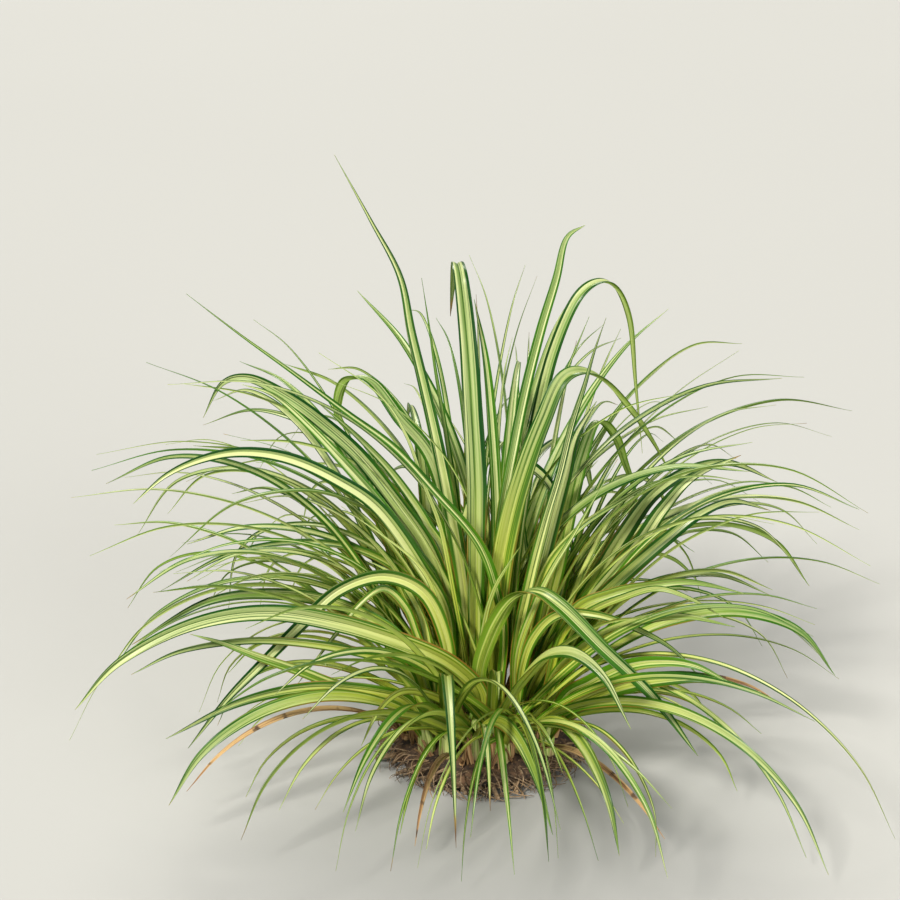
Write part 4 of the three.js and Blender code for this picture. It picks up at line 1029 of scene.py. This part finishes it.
for number, place in enumerate(shoot[0] for shoot in SET_SHOOTS + RULE_SHOOTS):
    draw = seeded_draws(FINE_SEED + number)
    outer, outwards = stance(place)
    count, fan, scale, lower = FINE["leaves"], mix(*RULE["spread"], outer), 1, 0
    if place[1] < FRONT_PLACE:
        count, fan, scale, lower = FRONT["leaves"], FRONT["fan"], FRONT["scale"], FRONT["lower"]
    parts = []
    for index in range(count):
        side = 2 * index / (count - 1) - 1
        leaf = drawn_leaf(FINE, draw, outwards + fan * side, outer, scale, lower)
        leaf["veer"] = spread(draw, 0, FINE["veer"])
        root = np.array([*place, FINE_ROOT["height"] + FINE_ROOT["step"] * index])
        width = mix(*FINE["width"], next(draw))
        taper = mix(*FINE["taper"], next(draw))
        turn = (spread(draw, 0, FINE["turn"]), spread(draw, 0, FINE["turn"]))
        striping = FINE_STRIPINGS[int(next(draw) * len(FINE_STRIPINGS))]
        way = clear_way(root, leaf, width)
        if way is not None:
            parts.append(blade_skin(root, way, width, taper, turn, striping, draw, FINE_ACROSS, FINE_SPACING))
    if parts:
        piece = skinned_object(f"fine_leaves_{number + 1:02d}", parts, [striped])
        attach(piece, "root")

# ---------------------------------------------------------------- withered leaves
# Last year's leaves at the foot: thin, brown and dry, curled along their length. Stubs and shreds
# of still older sheaths stand between the shoots.

DEAD_LEAVES = (  # place, heading and length
    ((-33, -9), 203, 118), ((-9, -33), 248, 84), ((19, -29), 300, 100), ((35, -2), 4, 112),
    ((-11, 33), 112, 108),
)
DEAD_HABIT = {"rise": 52, "droop": 96, "late_bend": 0.9, "veer": 14}
DEAD_WIDTH = 3.2
DEAD_ROOT = 11
DEAD_SEED = 61
# shreds of each old sheath, which stand clear of the middles of the shoots
SHREDS = {"count": 5, "clear": 4.2, "foot_stray": 2.2, "tip_stray": 3.2, "above": (2, 6), "width": (2.6, 1.2),
          "foot_turn": 60, "tip_turn": 80}

dry, tree, output = new_material("dry_leaf")
leaf_mm, _, veins = veined(tree)
colour = blend_of(tree, step_of(tree, veins["Streaks"], 0.36, 0.62), (0.20, 0.095, 0.035), (0.46, 0.30, 0.13))
colour = blend_of(tree, step_of(tree, veins["Lines"], 0.55, 0.66), colour, (0.10, 0.045, 0.018))
blotch = step_of(tree, noise_of(tree, leaf_mm, 0.12, 4.0), 0.56, 0.66)
colour = blend_of(tree, blotch, colour, (0.055, 0.030, 0.016))
rough_surface(tree, output, colour, step_of(tree, veins["Streaks"], -1.8, 1.0), veins["Height"], 1.0, 0.0005)

draw = seeded_draws(DEAD_SEED)
for number, (place, toward, length) in enumerate(DEAD_LEAVES, start=1):
    name = f"dead_leaf_{number}"
    root = np.array([*place, DEAD_ROOT], float)
    points = arching_points(root, {"toward": toward, "length": length, **DEAD_HABIT})
    points = as_grown(root, points, frame["nodes"][name])
    blade = blade_skin(root, points, DEAD_WIDTH, 3.2, (0, 50), "cream", draw)
    foot = strand([(*place, 4.4), (*place, 8), (*place, 12.4)], [1.7, 1.6, 0.9], 12, 8, across=0.0,
                  leaf_mm=(0.0, 0.0, 0.0), underside=0.0, middle=(0.0, 0.0, 3.0), tint=(0.0, 0.0, 0.0),
                  lean=0.0, browned=0.0)
    piece = skinned_object(f"withered_leaf_{number}", [blade, foot], [dry])
    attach(piece, "root")
    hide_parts(name)

shreds = []
shoot_places = [shoot[0] for shoot in SET_SHOOTS + RULE_SHOOTS]
for foot, lean, height in old_sheaths:
    for _ in range(SHREDS["count"]):
        start = foot + [spread(draw, 0, SHREDS["foot_stray"]), spread(draw, 0, SHREDS["foot_stray"]), 3]
        stray = [spread(draw, 0, SHREDS["tip_stray"]), spread(draw, 0, SHREDS["tip_stray"])]
        end = np.array([*(lean[:2] + stray), height + spread(draw, *SHREDS["above"])])
        if min(math.dist(start[:2], place) for place in shoot_places) < SHREDS["clear"]:
            continue
        points = np.array([mix(start, end, 0.4), mix(start, end, 0.75) + [0.3, 0.4, 0], end])
        width = spread(draw, *SHREDS["width"])
        turn = (spread(draw, 0, SHREDS["foot_turn"]), spread(draw, 0, SHREDS["tip_turn"]))
        shreds.append(blade_skin(start, points, width, 3.2, turn, "cream", draw, FINE_ACROSS))
piece = skinned_object("old_sheaths", shreds, [dry])
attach(piece, "root")
